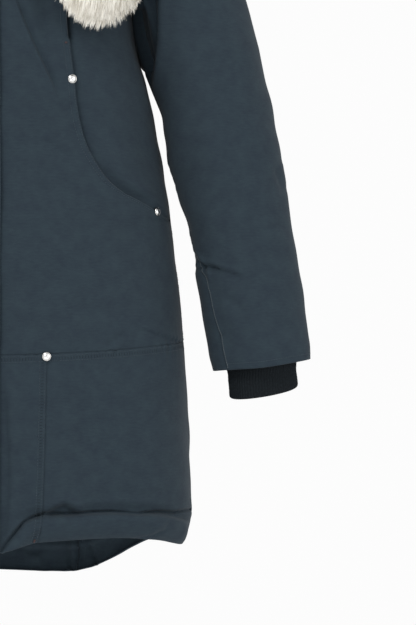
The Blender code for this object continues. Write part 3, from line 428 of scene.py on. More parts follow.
def line_field(place, points):
    """Signed distance to a line of points (positive on its right), and the share along it."""
    points = np.asarray(points, float)
    best = np.full(place.shape[:-1], 1e9)
    signed, share = np.zeros_like(best), np.zeros_like(best)
    lengths = np.linalg.norm(np.diff(points, axis=0), axis=1)
    done = np.concatenate(([0], np.cumsum(lengths)))
    for k in range(len(points) - 1):
        way = points[k + 1] - points[k]
        t = np.clip(((place - points[k]) @ way) / (way @ way), 0, 1)
        away = place - points[k] - t[..., None] * way
        distance = np.linalg.norm(away, axis=-1)
        side = np.where(way[0] * away[..., 1] - way[1] * away[..., 0] < 0, -1, 1)
        nearer = distance < best
        best = np.where(nearer, distance, best)
        signed = np.where(nearer, distance * side, signed)
        share = np.where(nearer, (done[k] + t * lengths[k]) / done[-1], share)
    return signed, share


def creases(place, table):
    """Displacement at places in the plane of the table's lines."""
    total = np.zeros(place.shape[:-1])
    for *kind, depth, width, points in table:
        signed, share = line_field(place, points)
        form = near = bell(signed / width)
        if kind == ["step"]:
            form = -signed / width * near * 1.6
        elif kind == ["fold"]:
            form = np.where(signed > 0, -near, 0) + 0.6 * bell((signed + width) / width)
        total += depth * 0.001 * smooth(share / 0.22) * smooth((1 - share) / 0.22) * form
    return total


def folds_in_view(points, table, side):
    """Creases of the wearer's left, and on the right the same kind, moved and weaker."""
    if side > 0:
        return creases(picture(points), table)
    return creases(picture(points * FLIP) + (5, -7), table) * RIGHT_SHARE


# Meshes.


def add_mesh(name, points, faces, look, uv=None):
    """A smooth shaded mesh from arrays of points and of triangles or quads, with the material named look."""
    points, faces = np.reshape(points, (-1, 3)), np.asarray(faces, np.int32)
    mesh = bpy.data.meshes.new(name)
    mesh.vertices.add(len(points))
    mesh.vertices.foreach_set("co", np.asarray(points, np.float32).ravel())
    mesh.loops.add(faces.size)
    mesh.loops.foreach_set("vertex_index", faces.ravel())
    mesh.polygons.add(len(faces))
    mesh.polygons.foreach_set("loop_start", np.arange(0, faces.size, faces.shape[1], dtype=np.int32))
    mesh.polygons.foreach_set("use_smooth", np.ones(len(faces), bool))
    if uv is not None:
        layer = mesh.uv_layers.new(name="UVMap")
        layer.data.foreach_set("uv", np.reshape(uv, (-1, 2)).astype(np.float32)[faces.ravel()].ravel())
    mesh.update(calc_edges=True)
    mesh.materials.append(LOOKS[look])
    return placed(bpy.data.objects.new(name, mesh))


def placed(obj):
    bpy.context.scene.collection.objects.link(obj)
    return obj


def settle(obj, node=None):
    """Puts a piece on the body, and in place of a node."""
    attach(obj, "root")
    if node:
        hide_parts(node)
    return obj


def grid_faces(rows, columns, closed=False):
    """Quads of a grid of points, numbered row by row. closed joins the last column to the first."""
    r = np.arange(rows - 1)[:, None]
    c = np.arange(columns if closed else columns - 1)[None, :]
    beside = (c + 1) % columns
    quads = (r * columns + c, r * columns + beside, (r + 1) * columns + beside, (r + 1) * columns + c)
    return np.stack(np.broadcast_arrays(*quads), axis=-1).reshape(-1, 4)


def facing(points, faces, way):
    """The faces, all turned round where the first one looks away from this way."""
    a, b, c = np.reshape(points, (-1, 3))[faces[0][:3]]
    return faces[:, ::-1] if np.dot(np.cross(b - a, c - b), way) < 0 else faces


def copies(faces, count, size):
    """Faces of a small mesh of size points, for count of them in a row."""
    return (np.arange(count)[:, None, None] * size + np.array(faces)).reshape(-1, 3)


def arcs(grid, axis):
    """Length along the grid from its start, along the axis."""
    steps = np.linalg.norm(np.diff(grid, axis=axis), axis=-1)
    start = np.zeros_like(np.take(steps, [0], axis=axis))
    return np.concatenate((start, np.cumsum(steps, axis=axis)), axis=axis)


def run(points):
    """Length along one line of points."""
    return arcs(points[:, None], 0)[:, 0]


def to_edges(grid):
    """Distance of each point to the near, far, low and high edge of its grid."""
    across, up = arcs(grid, 1), arcs(grid, 0)
    return {"near": across, "far": across[:, -1:] - across, "low": up, "high": up[-1:] - up}


def grid_normals(grid, hint):
    normal = unit(np.cross(np.gradient(grid, axis=1), np.gradient(grid, axis=0)))
    return -normal if (normal * hint).sum() < 0 else normal


def pulled(grid, sides, gaps):
    """The named edges moved inward by half a seam, or by the gap given for that edge."""
    grid = grid.copy()
    for side in sides:
        rows = grid if side in ("low", "high") else grid.swapaxes(0, 1)
        end, inner = (0, 1) if side in ("low", "near") else (-1, -2)
        rows[end] += unit(rows[inner] - rows[end]) * np.reshape(gaps.get(side, SEAM / 2), (-1, 1))
    return grid


def wrapped(grid, normal, uv, turned):
    """The grid with a rounded edge to each side, WALL deep, and turned in further at the turned sides."""
    for side, axis, end in (("low", 0, 0), ("high", 0, -1), ("near", 1, 0), ("far", 1, -1)):
        edge, n, mapped = (np.take(part, [end], axis=axis) for part in (grid, normal, uv))
        beyond = unit(edge - np.take(grid, [1 if end == 0 else -2], axis=axis))
        beyond = unit(beyond - n * (beyond * n).sum(-1, keepdims=True))
        steps = EDGE_TURNED if side in turned else EDGE_ROUNDED
        rows = [edge + beyond * out - n * down for out, down in steps]
        normals = [n] * len(steps)
        if side in turned:
            away = arcs(grid, axis).mean(axis=1 - axis)
            away = away if end == 0 else away[-1] - away
            for far, down in FLAP:
                k = [int(np.argmin(np.abs(away - far)))]
                normals.append(np.take(normal, k, axis=axis))
                rows.append(np.take(grid, k, axis=axis) - normals[-1] * down)
        shift = np.array((0, 0.001) if axis == 0 else (0.001, 0)) * (-1 if end == 0 else 1)
        maps = [mapped + shift * (k + 1) for k in range(len(rows))]
        if end == 0:
            rows, maps = rows[::-1], maps[::-1]
        grid, normal, uv = (
            np.concatenate((*new, old) if end == 0 else (old, *new), axis=axis)
            for new, old in ((rows, grid), (normals, normal), (maps, uv))
        )
    return grid, normal, uv


def hung(obj, grid):
    """Works out the width, length and area that a piece of cloth's grid was cut to, and does nothing more
    with them.
    """
    width, length = arcs(grid, 1)[:, -1].max(), arcs(grid, 0)[-1].max()
    a, b, c, d = grid[:-1, :-1], grid[:-1, 1:], grid[1:, :-1], grid[1:, 1:]
    area = sum(np.linalg.norm(np.cross(b - k, c - k), axis=-1).sum() / 2 for k in (a, d))
    width, length, area = float(width), float(length), float(area)


SHELLS = {}


def cloth_shell(name, base, normal, relief, sides, turned=(), gaps=None):
    """A dense shell of cloth in place of the node of this name."""
    grid = pulled(base, sides, gaps or {})
    inward = (np.cross(grid[1, 1] - grid[1, 0], grid[2, 0] - grid[1, 0]) * normal[1, 0]).sum() < 0
    if inward:
        grid, base, normal, relief = (part[:, ::-1] for part in (grid, base, normal, relief))
        turned = [OPPOSITE.get(side, side) for side in turned]
    grid = grid + normal * relief[..., None]
    fine = grid_normals(grid, normal)
    across = arcs(base, 1)
    uv = np.stack((across - across[:, -1:] * inward, base[..., 2]), axis=-1)
    SHELLS[name] = grid, fine, inward
    skin, _, uv = wrapped(grid, fine, uv, turned)
    shell = add_mesh(f"{name}_cloth", skin, grid_faces(*skin.shape[:2]), "cloth_canvas", uv)
    hung(settle(shell, name), skin)


# Rows of the body's panels.


def hem_height(angle, rear):
    return read(HEM, 180 - np.abs(angle) if rear else np.abs(angle), 1)


def cross_height(angle, rear):
    return CROSS_SEAM + CROSS_RISE * (np.ones_like(angle) if rear else np.sin(np.radians(angle)) ** 2)


def lower_level(key, angle, rear):
    """Level of a row between the hem (0), the top of its roll (1) and the cross seam (2)."""
    hem, roll = hem_height(angle, rear), HEM_ROLL[-1][0]
    rest = hem + roll + (cross_height(angle, rear) - (hem + roll)) * (key - 1)
    return np.where(key <= 1, hem + roll * key, rest) - ARMPIT


def upper_level(key, angle, rear):
    """Level of a row: negative keys are metres below the armpit, from the cross seam up."""
    height = key + ARMPIT
    weight = np.clip((-0.56 - height) / (-0.56 - CROSS_SEAM), 0, 1)
    return np.where(key < 0, height + (cross_height(angle, rear) - CROSS_SEAM) * weight - ARMPIT, key)


def hem_relief(angle, level, rear):
    """The rolled hem. In front it fades out towards the placket."""
    height = ARMPIT + level - hem_height(angle, rear)
    fade = 0.6 if rear else smooth((np.abs(surface(angle, level, rear)[..., 0]) - 0.042) / 0.045)
    side = smooth((np.abs(angle) - 70) / 20)
    return read(HEM_ROLL, height, 1) * fade * (1 - side) + read(HEM_ROLL, height, 2) * side


def pocket_angle(level):
    below = angle_at(read(POCKET_EDGE, ARMPIT + np.minimum(level, 0), 1), np.minimum(level, 0), False)
    return np.where(level < 0, below, PRINCESS[0] + (PRINCESS[1] - PRINCESS[0]) * level)


def pocket_parts(keys, start):
    """How far each row is in the pocket's parted slit, and in its scoop, which starts at this height."""
    keys = keys[:, None]
    slit = smooth((keys + ARMPIT - SLIT_START) / 0.01) * (1 - smooth((keys - 0.15) / 0.05))
    return slit, (1 - slit) * smooth((keys + ARMPIT - start) / 0.02) * (1 - smooth(keys / 0.1))


def neck_angle(level, start):
    return NECK_ANGLE * np.sqrt(np.clip((level - start) / (1 - start), 0, 1))


def seam_angle(table, key, rear):
    level = lower_level(key, np.full_like(key, 25), rear)
    return angle_at(read(table, ARMPIT + level, 1), level, rear)


def body_grid(keys, near, far, columns, level_of, rear):
    share = np.linspace(0, 1, columns + 1)[None, :]
    angle = near[:, None] + (far - near)[:, None] * share
    level = level_of(keys[:, None], angle, rear)
    return angle, level, surface(angle, level, rear), outward(angle, level, rear)


def puckers(base, edges, side, seed, pitch=0.010, depth=0.00045, reach=0.012):
    """Small puckers that a seam draws into the cloth beside it."""
    along = arcs(base, 0 if side in ("near", "far") else 1)
    r = np.random.default_rng(seed)
    a, b, c = (np.sin(2 * math.pi * along / (pitch * longer) + r.uniform(0, 6.3)) for longer in (1, 1.7, 7.3))
    return depth * (a + 0.7 * b) * (0.5 + 0.5 * c) * np.exp(-edges[side] / reach)


def valley(edges, sides, depth=0.0007, width=0.0016):
    """The dip along a seam."""
    return -depth * sum(bell(edges[side] / width) for side in sides)


def body_panel(side, keys, near, far, columns, level_of, rear):
    """Angles, levels, points, normals and distances to the edges of a panel, and the relief of the body's
    creases, soft unevenness and hem there."""
    angle, level, base, normal = body_grid(keys, near, far, columns, level_of, rear)
    base, normal = (part * (side, 1, 1) for part in (base, normal))
    left, right = (0.0011 * waves(base, k, 0.13) + 0.0005 * waves(base, k + 1, 0.05) for k in (31, 47))
    relief = right + (left - right) * smooth((base[..., 0] + 0.025) / 0.05)
    if rear:
        relief = relief * 1.3 + creases(base[..., [0, 2]], BACK_CREASES)
    else:
        relief = relief + folds_in_view(base, FRONT_CREASES + SKIRT_CREASES, side)
    if level_of is lower_level:
        relief = relief + hem_relief(angle, level, rear)
    return angle, level, base, normal, to_edges(base), relief


def make_body():
    lower = np.concatenate((spaced(0, 0.64, 0.0145), spaced(0.64, 1, 0.03)[1:], spaced(1, 2, 0.018)[1:]))
    lower_rear = np.concatenate((spaced(0, 0.9, 0.022), spaced(0.9, 2, 0.022)[1:]))
    top = np.array((0.977, 0.984, 0.99, 0.995, 1))
    front_seam = seam_angle(LOWER_FRONT_SEAM, lower, False)
    back_seam = seam_angle(LOWER_BACK_SEAM, lower_rear, True)
    middle, side_seam = np.zeros_like(front_seam), np.full_like(front_seam, 90)
    for side, name in SIDES:
        step = STEP_IN_VIEW if side > 0 else STEP_HIDDEN
        below_pocket = spaced(CROSS_SEAM - ARMPIT, POCKET_LOW - 0.0035 - ARMPIT, step)
        pocket = spaced(POCKET_LOW - ARMPIT, 0, step)
        chest = spaced(0, 0.97, step * 4)[1:]

        keys = np.concatenate((below_pocket, pocket, chest, top))
        near = np.where(keys > 0, neck_angle(keys, FRONT_NECK), 0)
        far = np.where(keys < POCKET_LOW - 0.002 - ARMPIT, 90, pocket_angle(keys))
        _, _, base, normal, edges, relief = body_panel(
            side, keys, near, far, int(0.24 / step), upper_level, False)
        slit, scoop = pocket_parts(keys, POCKET_LOW - 0.0035)
        relief += valley(edges, ("far",)) + valley(edges, ("low",), 0.0004)
        relief += puckers(base, edges, "low", 3) + puckers(base, edges, "far", 4, 0.008, 0.0003)
        relief += 0.0008 * slit * bell(edges["far"] / 0.004) + 0.0011 * scoop * bell(edges["far"] / 0.007, 4)
        cloth_shell(f"front_center_{name}", base, normal, relief, ("low", "near", "far", "high"),
                    gaps={"far": SEAM / 2 + 0.0014 * slit})

        keys = np.concatenate((pocket, chest, top))
        near, far = pocket_angle(keys), np.where(keys < 0, 90, read(ARMHOLE, np.maximum(keys, 0), 1))
        angle, level, base, normal, edges, relief = body_panel(
            side, keys, near, far, int(0.17 / step), upper_level, False)
        slit, scoop = pocket_parts(keys, POCKET_LOW + 0.003)
        relief -= 0.0025 * (1 - smooth((angle - near[:, None]) / 14)) * (1 - smooth(level / 0.2))
        relief += valley(edges, ("far",))
        relief -= 0.0065 * slit * bell(edges["near"] / 0.004)
        relief -= 0.0028 * scoop * np.exp(-edges["near"] / 0.007)
        cloth_shell(f"front_side_{name}", base, normal, relief, ("near", "high", "far"),
                    gaps={"near": SEAM / 2 + 0.0018 * slit - 0.005 * scoop})

        keys = np.concatenate((spaced(CROSS_SEAM - ARMPIT, 0, 0.0045), spaced(0, 0.97, 0.018)[1:], top))
        near = np.where(keys > 0, neck_angle(keys, BACK_NECK), 0)
        far = np.where(keys < 0, 90, read(ARMHOLE, np.maximum(keys, 0), 2))
        _, _, base, normal, edges, relief = body_panel(side, keys, near, far, 62, upper_level, True)
        relief += valley(edges, ("near", "far", "low")) + puckers(base, edges, "low", 5)
        cloth_shell(f"back_upper_{name}", base, normal, relief, ("low", "near", "far", "high"))

        for node, near, far, width, inner in (
            ("front_lower", middle, front_seam, 0.1, "far"),
            ("front_skirt", front_seam, side_seam, 0.24, "near"),
        ):
            _, _, base, normal, edges, relief = body_panel(
                side, lower, near, far, int(width / step), lower_level, False)
            relief += valley(edges, ("near", "far", "high"), 0.0004)
            relief += puckers(base, edges, "high", 6, 0.011, 0.0007)
            relief += puckers(base, edges, inner, 7, 0.012, 0.0003)
            cloth_shell(f"{node}_{name}", base, normal, relief, ("near", "far", "high"), turned=("low",))

        _, _, base, normal, edges, relief = body_panel(
            side, lower_rear, back_seam, np.full_like(back_seam, 90), 84, lower_level, True)
        relief += valley(edges, ("near", "far", "high"))
        cloth_shell(f"back_lower_{name}", base, normal, relief, ("near", "far", "high"))

    _, _, base, normal, edges, relief = body_panel(
        1, lower_rear, -back_seam, back_seam, 90, lower_level, True)
    relief += valley(edges, ("near", "far", "high")) + puckers(base, edges, "high", 8)
    cloth_shell("back_lower_center", base, normal, relief, ("near", "far", "high"),
                gaps={"near": -SEAM, "far": -SEAM})


def make_placket():
    upper = np.concatenate((spaced(CROSS_SEAM - ARMPIT, 0, 0.003), spaced(0, PLACKET_TOP, 0.011)[1:]))
    lower = np.concatenate((spaced(0, 1, 0.04), spaced(1, 2, 0.022)[1:-1]))
    parts = []
    for keys, level_of in ((lower, lower_level), (upper, upper_level)):
        half = angle_at(PLACKET_HALF, level_of(keys, np.full_like(keys, 8), False), False)
        parts.append(body_grid(keys, -half, half, 26, level_of, False))
    angle, level, base, normal = (np.concatenate(pair) for pair in zip(*parts))
    base = base + normal * (WALL + SEAM)
    edges = to_edges(base)
    relief = hem_relief(angle, level, False) + 0.0006 * waves(base, 61, 0.1) + 0.0004 * waves(base, 62, 0.04)
    relief += 0.0008 * np.exp(-edges["far"] / 0.006) * (1 + np.sin(edges["low"] / 0.021 + 1))
    for side, seed in (("far", 9), ("near", 10)):
        relief += puckers(base, edges, side, seed, 0.009, 0.00025)
    cloth_shell("placket", base, normal, relief, (), turned=("low", "near", "far"))


# Sleeves and cuffs.


def armhole(turn):
    """Points, body normals and directions into the panel at turns of 0 (shoulder tip) to 360 degrees."""
    turn = np.mod(turn, 360)
    sine, cosine = sine_cosine(turn)
    rear, level = turn > 180, (1 + cosine) / 2

    def on(at, do):
        front, back = do(read(ARMHOLE, at, 1), at, False), do(read(ARMHOLE, at, 2), at, True)
        return np.where(rear[..., None], back, front)

    side = np.minimum(np.abs(sine) * 2.5, 1)[..., None]
    normal = unit(on(np.clip(level, 0.02, 0.985), outward) * (X + Y * side + Z))
    edge = unit(on(np.minimum(level + 0.02, 1), surface) - on(np.maximum(level - 0.02, 0), surface))
    flat = Y * (np.where(rear, 1, -1) * np.where(level < 0.5, 1, -1))[..., None]
    at_ends = ((level < 0.05) | (level > 0.985))[..., None]
    edge = np.where(at_ends, unit(edge * side + flat * (1 - side)), edge)
    into = unit(np.cross(edge, normal)) * np.where(rear, 1, -1)[..., None]
    return on(level, surface), normal, into


def sleeve_frame(place):
    """Centre, axis, outward and front direction, half width and half depth along the SLEEVE table."""
    place = np.asarray(place, float)
    x, y, z, half_width, half_depth = (read(SLEEVE, place, column) for column in range(1, 6))
    sine, cosine = sine_cosine(SLEEVE_TILT - SLEEVE_TILT_STEP * place)
    lean = -0.05 - 0.008 * np.minimum(place, 5) + 0.045 * np.maximum(place - 5, 0)
    axis = unit(np.stack((sine, lean, -cosine), axis=-1))
    out = unit(np.cross(axis, Y))
    return np.stack((x, y, z), axis=-1), axis, out, unit(np.cross(axis, out)), half_width, half_depth


def sleeve_point(turn, place):
    centre, axis, out, front, half_width, half_depth = sleeve_frame(place)
    sine, cosine = sine_cosine(turn)
    shorter = 0.0045 * smooth(np.asarray(place) - 6) * smooth((0.2 - cosine) / 1.2)
    point = centre + out * (half_width * cosine)[..., None] + front * (half_depth * sine)[..., None]
    return point - axis * shorter[..., None]


def cap_point(turn, step):
    """Points of the cap, on curves that leave the armhole along the panel and end along the sleeve."""
    point, normal, into = armhole(turn)
    start = point + normal * (SLEEVE_SEAT + SLEEVE_STUB) + into * WALL * 0.6
    end = sleeve_point(turn, 0)
    high = ((1 + sine_cosine(turn)[1]) / 2)[..., None] ** 0.9
    leave = -into * CAP_REACH * high + normal * (UNDERARM_EASE + (CAP_EASE - UNDERARM_EASE) * high)
    arrive = sleeve_frame(0)[1] * np.linalg.norm(end - start, axis=-1, keepdims=True) * CAP_ARRIVAL
    return hermite(start, leave, end, arrive, step[..., None])


def sleeve_grid(first, last, columns, step):
    """Rings of a sleeve piece from its hem, the low edge, up to the armhole, with their normals and turns.
    first and last are columns of SLEEVE_SEAMS."""
    steps, places = spaced(0, 1, step * 5.2)[:-1], spaced(0, 7, step * 19)
    rows = np.concatenate((np.interp(steps, CAP_STEPS, range(1, 8)), 7 + places))
    start, end = read(SLEEVE_SEAMS, rows, first), read(SLEEVE_SEAMS, rows, last)
    if first == 2:
        start = start - 360
    turn = np.mod(start[:, None] + (end - start)[:, None] * np.linspace(0, 1, columns + 1), 360)
    cap, low = turn[: len(steps)], turn[len(steps):]
    grid = np.concatenate((cap_point(cap, steps[:, None]), sleeve_point(low, places[:, None])))
    centre = sleeve_frame(np.concatenate((np.zeros_like(steps), places)))[0]
    normal = grid_normals(grid, grid - centre[:, None])
    return grid[::-1], normal[::-1], turn[::-1]


def arm_relief(point, normal, turn):
    """The sleeve's inner face under the arm: it rests on the body behind, with a hollow in front of that."""
    (x, y, z), inward = np.moveaxis(point, -1, 0), -normal[..., 0]
    beside = read(BODY, z, 1) * np.sqrt(np.clip(1 - (y / (1.12 * read(BODY, z, 2))) ** 2, 0, 1))
    room = np.clip((x - beside - 0.0008) / np.maximum(inward, 0.6), 0, 0.012)
    press = room * bell((y - 0.012) / 0.017) * smooth((z + 0.33) / 0.014) * smooth(inward / 0.3)
    across, down = np.moveaxis(picture(point), -1, 0)
    past = across - read(ARM_EDGE, down, 1)
    under = smooth((94 - down) / 34) * smooth((down + 90) / 60) * (1 - smooth((y + 0.014) / 0.016))
    hollow = 0.0016 * bell((past - 3) / 5) - 0.0155 * smooth(-past / 5)
    dents = sum(depth * 0.001 * bell((z - height) / half) * bell((np.mod(turn - at + 180, 360) - 180) / 24)
                for height, half, depth, at in ARM_DENTS)
    return press + under * hollow + dents


def make_sleeves():
    for side, name in SIDES:
        step, seed, behind = (0.0032, 71, 1) if side > 0 else (STEP_HIDDEN, 83, RIGHT_SHARE)
        for node, first, last, width, seam, depth, reach in (
            ("sleeve_upper", 2, 1, 0.32, "far", 0.0014, 0.0024),
            ("sleeve_under", 1, 2, 0.075, "near", -0.0016, 0.003),
        ):
            base, normal, turn = sleeve_grid(first, last, int(width / step), step)
            pressed = arm_relief(base, normal, turn)
            hidden = creases(base[..., [0, 2]], ARM_CREASES) * behind
            base, normal = (part * (side, 1, 1) for part in (base, normal))
            edges = to_edges(base)
            seen = smooth((0.25 - normal[..., 1]) / 0.5)
            relief = 0.001 * waves(base, seed, 0.11) + 0.0005 * waves(base, seed + 1, 0.045)
            relief += seen * folds_in_view(base, SLEEVE_CREASES, side) + (1 - seen) * hidden
            relief = relief * smooth(edges["high"] / 0.02) + pressed * smooth(edges["high"] / 0.006)
            relief += valley(edges, ("near", "far"), 0.0004) + puckers(base, edges, "far", 12, 0.011, 0.0003)
            relief += depth * smooth((-0.4 - base[..., 2]) / 0.05) * bell(edges[seam] / reach)
            relief += 0.0008 * bell((edges["low"] - 0.016) / 0.01)
            cloth_shell(f"{node}_{name}", base, normal, relief, ("near", "far"), turned=("low",))


def make_cuffs():
    """Rib knit, each rib a rounded ridge with a narrow groove beside it, and a folded edge."""
    centre, axis, out, front, _, _ = sleeve_frame(7)
    rib = np.arange(CUFF_RIBS * RIB_STEPS) / RIB_STEPS
    turn = 2 * math.pi * rib / CUFF_RIBS
    sine, cosine = np.sin(turn), np.cos(turn)
    knit = spaced(*CUFF_ENDS, 0.0019)
    rows, skin = np.concatenate((np.stack((knit, 0 * knit), axis=-1), CUFF_FOLD)).T[..., None]
    share = np.clip(rows, *CUFF_ENDS)
    wide, deep = cosine * read(CUFF, share, 1), sine * read(CUFF, share, 2)
    radial = out * wide[..., None] + front * deep[..., None]
    ridge = 0.0009 * np.sin(math.pi * (rib % 1)) ** 0.7 + 0.0001
    lift = skin + ridge * (skin > -0.002) * smooth((rows + 0.014) / 0.01)
    lift = lift + 0.00012 * np.cos(2 * math.pi * rows / KNIT_ROW)
    lift = lift + 0.0009 * np.sin(turn * 3 + 1) * np.sin(rows * 90)
    sine_tilt, cosine_tilt = sine_cosine(CUFF_TILT)
    fall = X * sine_tilt - Z * cosine_tilt
    hang = read(CUFF, share, 3) * np.sign(sine) * np.abs(sine) ** 0.6
    rows = rows[..., None]
    shift = X * CUFF_SHIFT * smooth(rows / 0.012)
    grid = centre + axis * np.minimum(rows, 0) + fall * np.maximum(rows, 0) - shift
    grid = grid + radial + unit(radial) * lift[..., None] - Z * hang[..., None]
    uv = np.stack(np.broadcast_arrays(rib, rows[..., 0] / KNIT_ROW), axis=-1)
    for side, name in SIDES:
        skin, way = grid * (side, 1, 1), radial[0, 0] * (side, 1, 1)
        faces = facing(skin, grid_faces(len(rows), len(turn), closed=True), way)
        cuff = settle(add_mesh(f"cuff_{name}_knit", skin, faces, "cuff_knit", uv), f"cuff_{name}")


# Collar and hood.


def neckline():
    """Points, normals and directions into the panel from the centre front to the centre back, on +X."""
    parts = []
    for levels, start, rear in ((NECK_LEVELS[0], FRONT_NECK, False), (NECK_LEVELS[1], BACK_NECK, True)):
        angle = neck_angle(np.array(levels), start)
        parts.append((surface(angle, levels, rear), outward(angle, levels, rear)))
    point, normal = (np.concatenate(pair) for pair in zip(*parts))
    edge = np.concatenate(([X], point[2:] - point[:-2], [-X]))
    normal[[0, -1]] = unit(normal[[0, -1]] * (Y + Z))
    into = unit(np.cross(normal, edge))
    inward = (into * point * (X + Y)).sum(-1, keepdims=True) < 0
    return point, normal, np.where(inward, -into, into)


def refined(grid, times, axis=0):
    """More points along an axis of a grid, on a Catmull-Rom curve through it."""
    g = np.moveaxis(np.asarray(grid, float), axis, 0)
    ends = np.concatenate((2 * g[:1] - g[1:2], g, 2 * g[-1:] - g[-2:-1]))
    a, b, c, d = ends[:-3], ends[1:-2], ends[2:-1], ends[3:]
    found = []
    for t in np.arange(times) / times:
        found.append(0.5 * (2 * b + (c - a) * t + (2 * a - 5 * b + 4 * c - d) * t**2
                            + (3 * b - a - 3 * c + d) * t**3))
    line = np.stack(found, axis=1).reshape((-1,) + g.shape[1:])
    return np.moveaxis(np.concatenate((line, g[-1:])), 0, axis)


def make_collar():
    """Outer face up from the neck seam, over the top edge, and down the inner face."""
    point, normal, into = (np.concatenate((v * FLIP, v[-2::-1])) for v in neckline())
    away = unit(into * (X + Y))
    front, side, back = COLLAR_TOP
    ends = np.where(point[:, 1] > 0, back, front)
    top = side + (ends - side) * smooth(np.abs(point[:, 1]) / 0.085)
    rise = Z * (top - point[:, 2])[:, None]
    seat = point + normal * 0.0005
    seat[[0, -1], 0] += (-0.001, 0.001)
    rows = [seat + into * WALL]
    for share in (0.15, 0.36, 0.58, 0.8, 1):
        flare = normal * WALL * max(0, 1 - abs(share - 0.15) * 3)
        rows.append(seat + rise * share + away * (WALL - COLLAR_LEAN * share) + flare)
    for lift, out in ((0.0012, 0.0022), (0.0014, 0.001), (0, 0)):
        rows.append(seat + rise + Z * lift + away * (out - COLLAR_LEAN))
    for share in (0.8, 0.5, 0.2):
        rows.append(seat + rise * share - away * COLLAR_LEAN * share)
    grid = refined(refined(np.stack(rows), 4, 1), 3, 0)
    grid = grid + 0.0004 * waves(grid, 91, 0.04)[..., None] * unit(grid * (X + Y))
    uv = np.stack((arcs(grid, 1), arcs(grid, 0)), axis=-1)
    collar = add_mesh("collar_cloth", grid, grid_faces(*grid.shape[:2]), "cloth_canvas", uv)
    hung(settle(collar, "collar"), grid)


def back_depth(x, z):
    """How far behind the back stands out there, or -1 above the shoulder."""
    angle = np.full_like(x, 30)
    for _ in range(8):
        top = SHOULDER_TOP - SHOULDER_SLOPE * SHOULDER_HALF * np.sin(np.radians(angle))
        level = np.where(z > ARMPIT, (z - ARMPIT) / (top - ARMPIT), z - ARMPIT)
        angle = angle_at(np.minimum(np.abs(x), 0.18), np.minimum(level, 0.9999), True)
    return np.where(level >= 1, -1, surface(angle, np.minimum(level, 0.9999), True)[..., 1])


def hood_grid(angles):
    """Rows of points from the neck seam down the back, round the fold and up to the free edge."""
    turn, neck = np.abs(angles), neckline()
    bearing = np.degrees(np.arctan2(np.abs(neck[0][:, 0]), neck[0][:, 1] - HOOD_CENTRE))
    order = np.argsort(bearing)
    point, normal, into = (interp(turn, bearing[order], v[order]) for v in neck)
    normal, into = unit(normal), unit(into)
    start = point + normal * HOOD_SEAT + into * (2 * WALL + 0.001)
    controls = [start, start + into * 0.012 + normal * 0.001]
    sine, cosine = sine_cosine(turn)
    for column in (1, 3, 5, 7):
        radius, height = read(HOOD, turn, column), read(HOOD, turn, column + 1)
        controls.append(np.stack((radius * sine, radius * cosine + HOOD_CENTRE, height), axis=-1))
    grid = refined(np.stack(controls), 3, 0)
    limit, y = back_depth(grid[..., 0], grid[..., 2]), grid[..., 1]
    grid[..., 1] = np.where((limit > -1) & (y > 0.02), np.maximum(y, limit + HOOD_CLEARANCE), y)
    grid[..., 0] *= np.where(angles >= 0, 1, -1)
    return grid


def make_hood():
    grid = refined(refined(hood_grid(HOOD[-1][0] * np.arange(-10, 11) / 10), 4, 0), 6, 1)
    middle = grid.shape[1] // 2
    normal = grid_normals(grid, -Z)
    for name, part, seam in (("right", slice(0, middle + 1), "far"), ("left", slice(middle, None), "near")):
        base = grid[:, part]
        edges = to_edges(base)
        relief = 0.0012 * waves(base, 95, 0.09) + 0.0007 * waves(base, 96, 0.04)
        relief *= smooth(edges["low"] / 0.05)
        relief += valley(edges, (seam,), 0.0012, 0.003) + puckers(base, edges, seam, 14, 0.014, 0.0006, 0.02)
        cloth_shell(f"hood_{name}", base, normal[:, part], relief + WALL / 2, (seam,))


# Fur.


def fur_strip():
    """Lengths along the whole strip, and rows of centre, directions along, across and outward, half width
    and half thickness there."""
    rows = []
    for angle, level, clearance, width, thickness in FUR_ON_BODY:
        normal = outward(angle, level, False)
        centre = surface(angle, level, False) + normal * (thickness + clearance)
        rows.append((*centre, *normal, width, thickness))
    for angle, steepness, width, thickness in FUR_ON_HOOD:
        (sine, cosine), (up, level) = sine_cosine(angle), sine_cosine(steepness)
        away = np.array((sine * level, cosine * level, up))
        centre = hood_grid(np.array([angle]))[-1, 0] + away * (thickness + WALL / 2 + FUR_OVER_HOOD)
        rows.append((*centre, *away, width, thickness))
    left = np.array(rows)
    right = (left * (-1, 1, 1, -1, 1, 1, 1, 1))[-2::-1]
    centre, out, size = np.split(refined(np.concatenate((left, right)), 8), (3, 6), axis=1)
    along = unit(np.gradient(centre, axis=0))
    across = unit(np.cross(out, along))
    return run(centre), np.concatenate((centre, along, across, unit(np.cross(along, across)), size), axis=1)


def at_length(strip, s):
    """Centre, directions along, across and outward, half width and half thickness, also beyond the ends."""
    centre, along, across, out, size = np.split(interp(s, *strip), (3, 6, 9, 12), axis=1)
    beyond = s - np.clip(s, 0, strip[0][-1])
    return centre + along * beyond[:, None], along, across, out, *size.T


def around(across, out, turn, width, thickness):
    return across * (np.cos(turn) * width)[..., None] + out * (np.sin(turn) * thickness)[..., None]


def underfur_share(strip, s):
    """Half width and half thickness of the underfur as shares of the strip's, rounded off at its ends."""
    end = np.minimum(s, strip[0][-1] - s) - UNDERFUR_INSET
    closing = np.sqrt(1 - (1 - np.clip(end / 0.026, 0, 1)) ** 2) * 0.97 + 0.03
    return UNDERFUR_WIDTH * closing, UNDERFUR_THICKNESS * closing


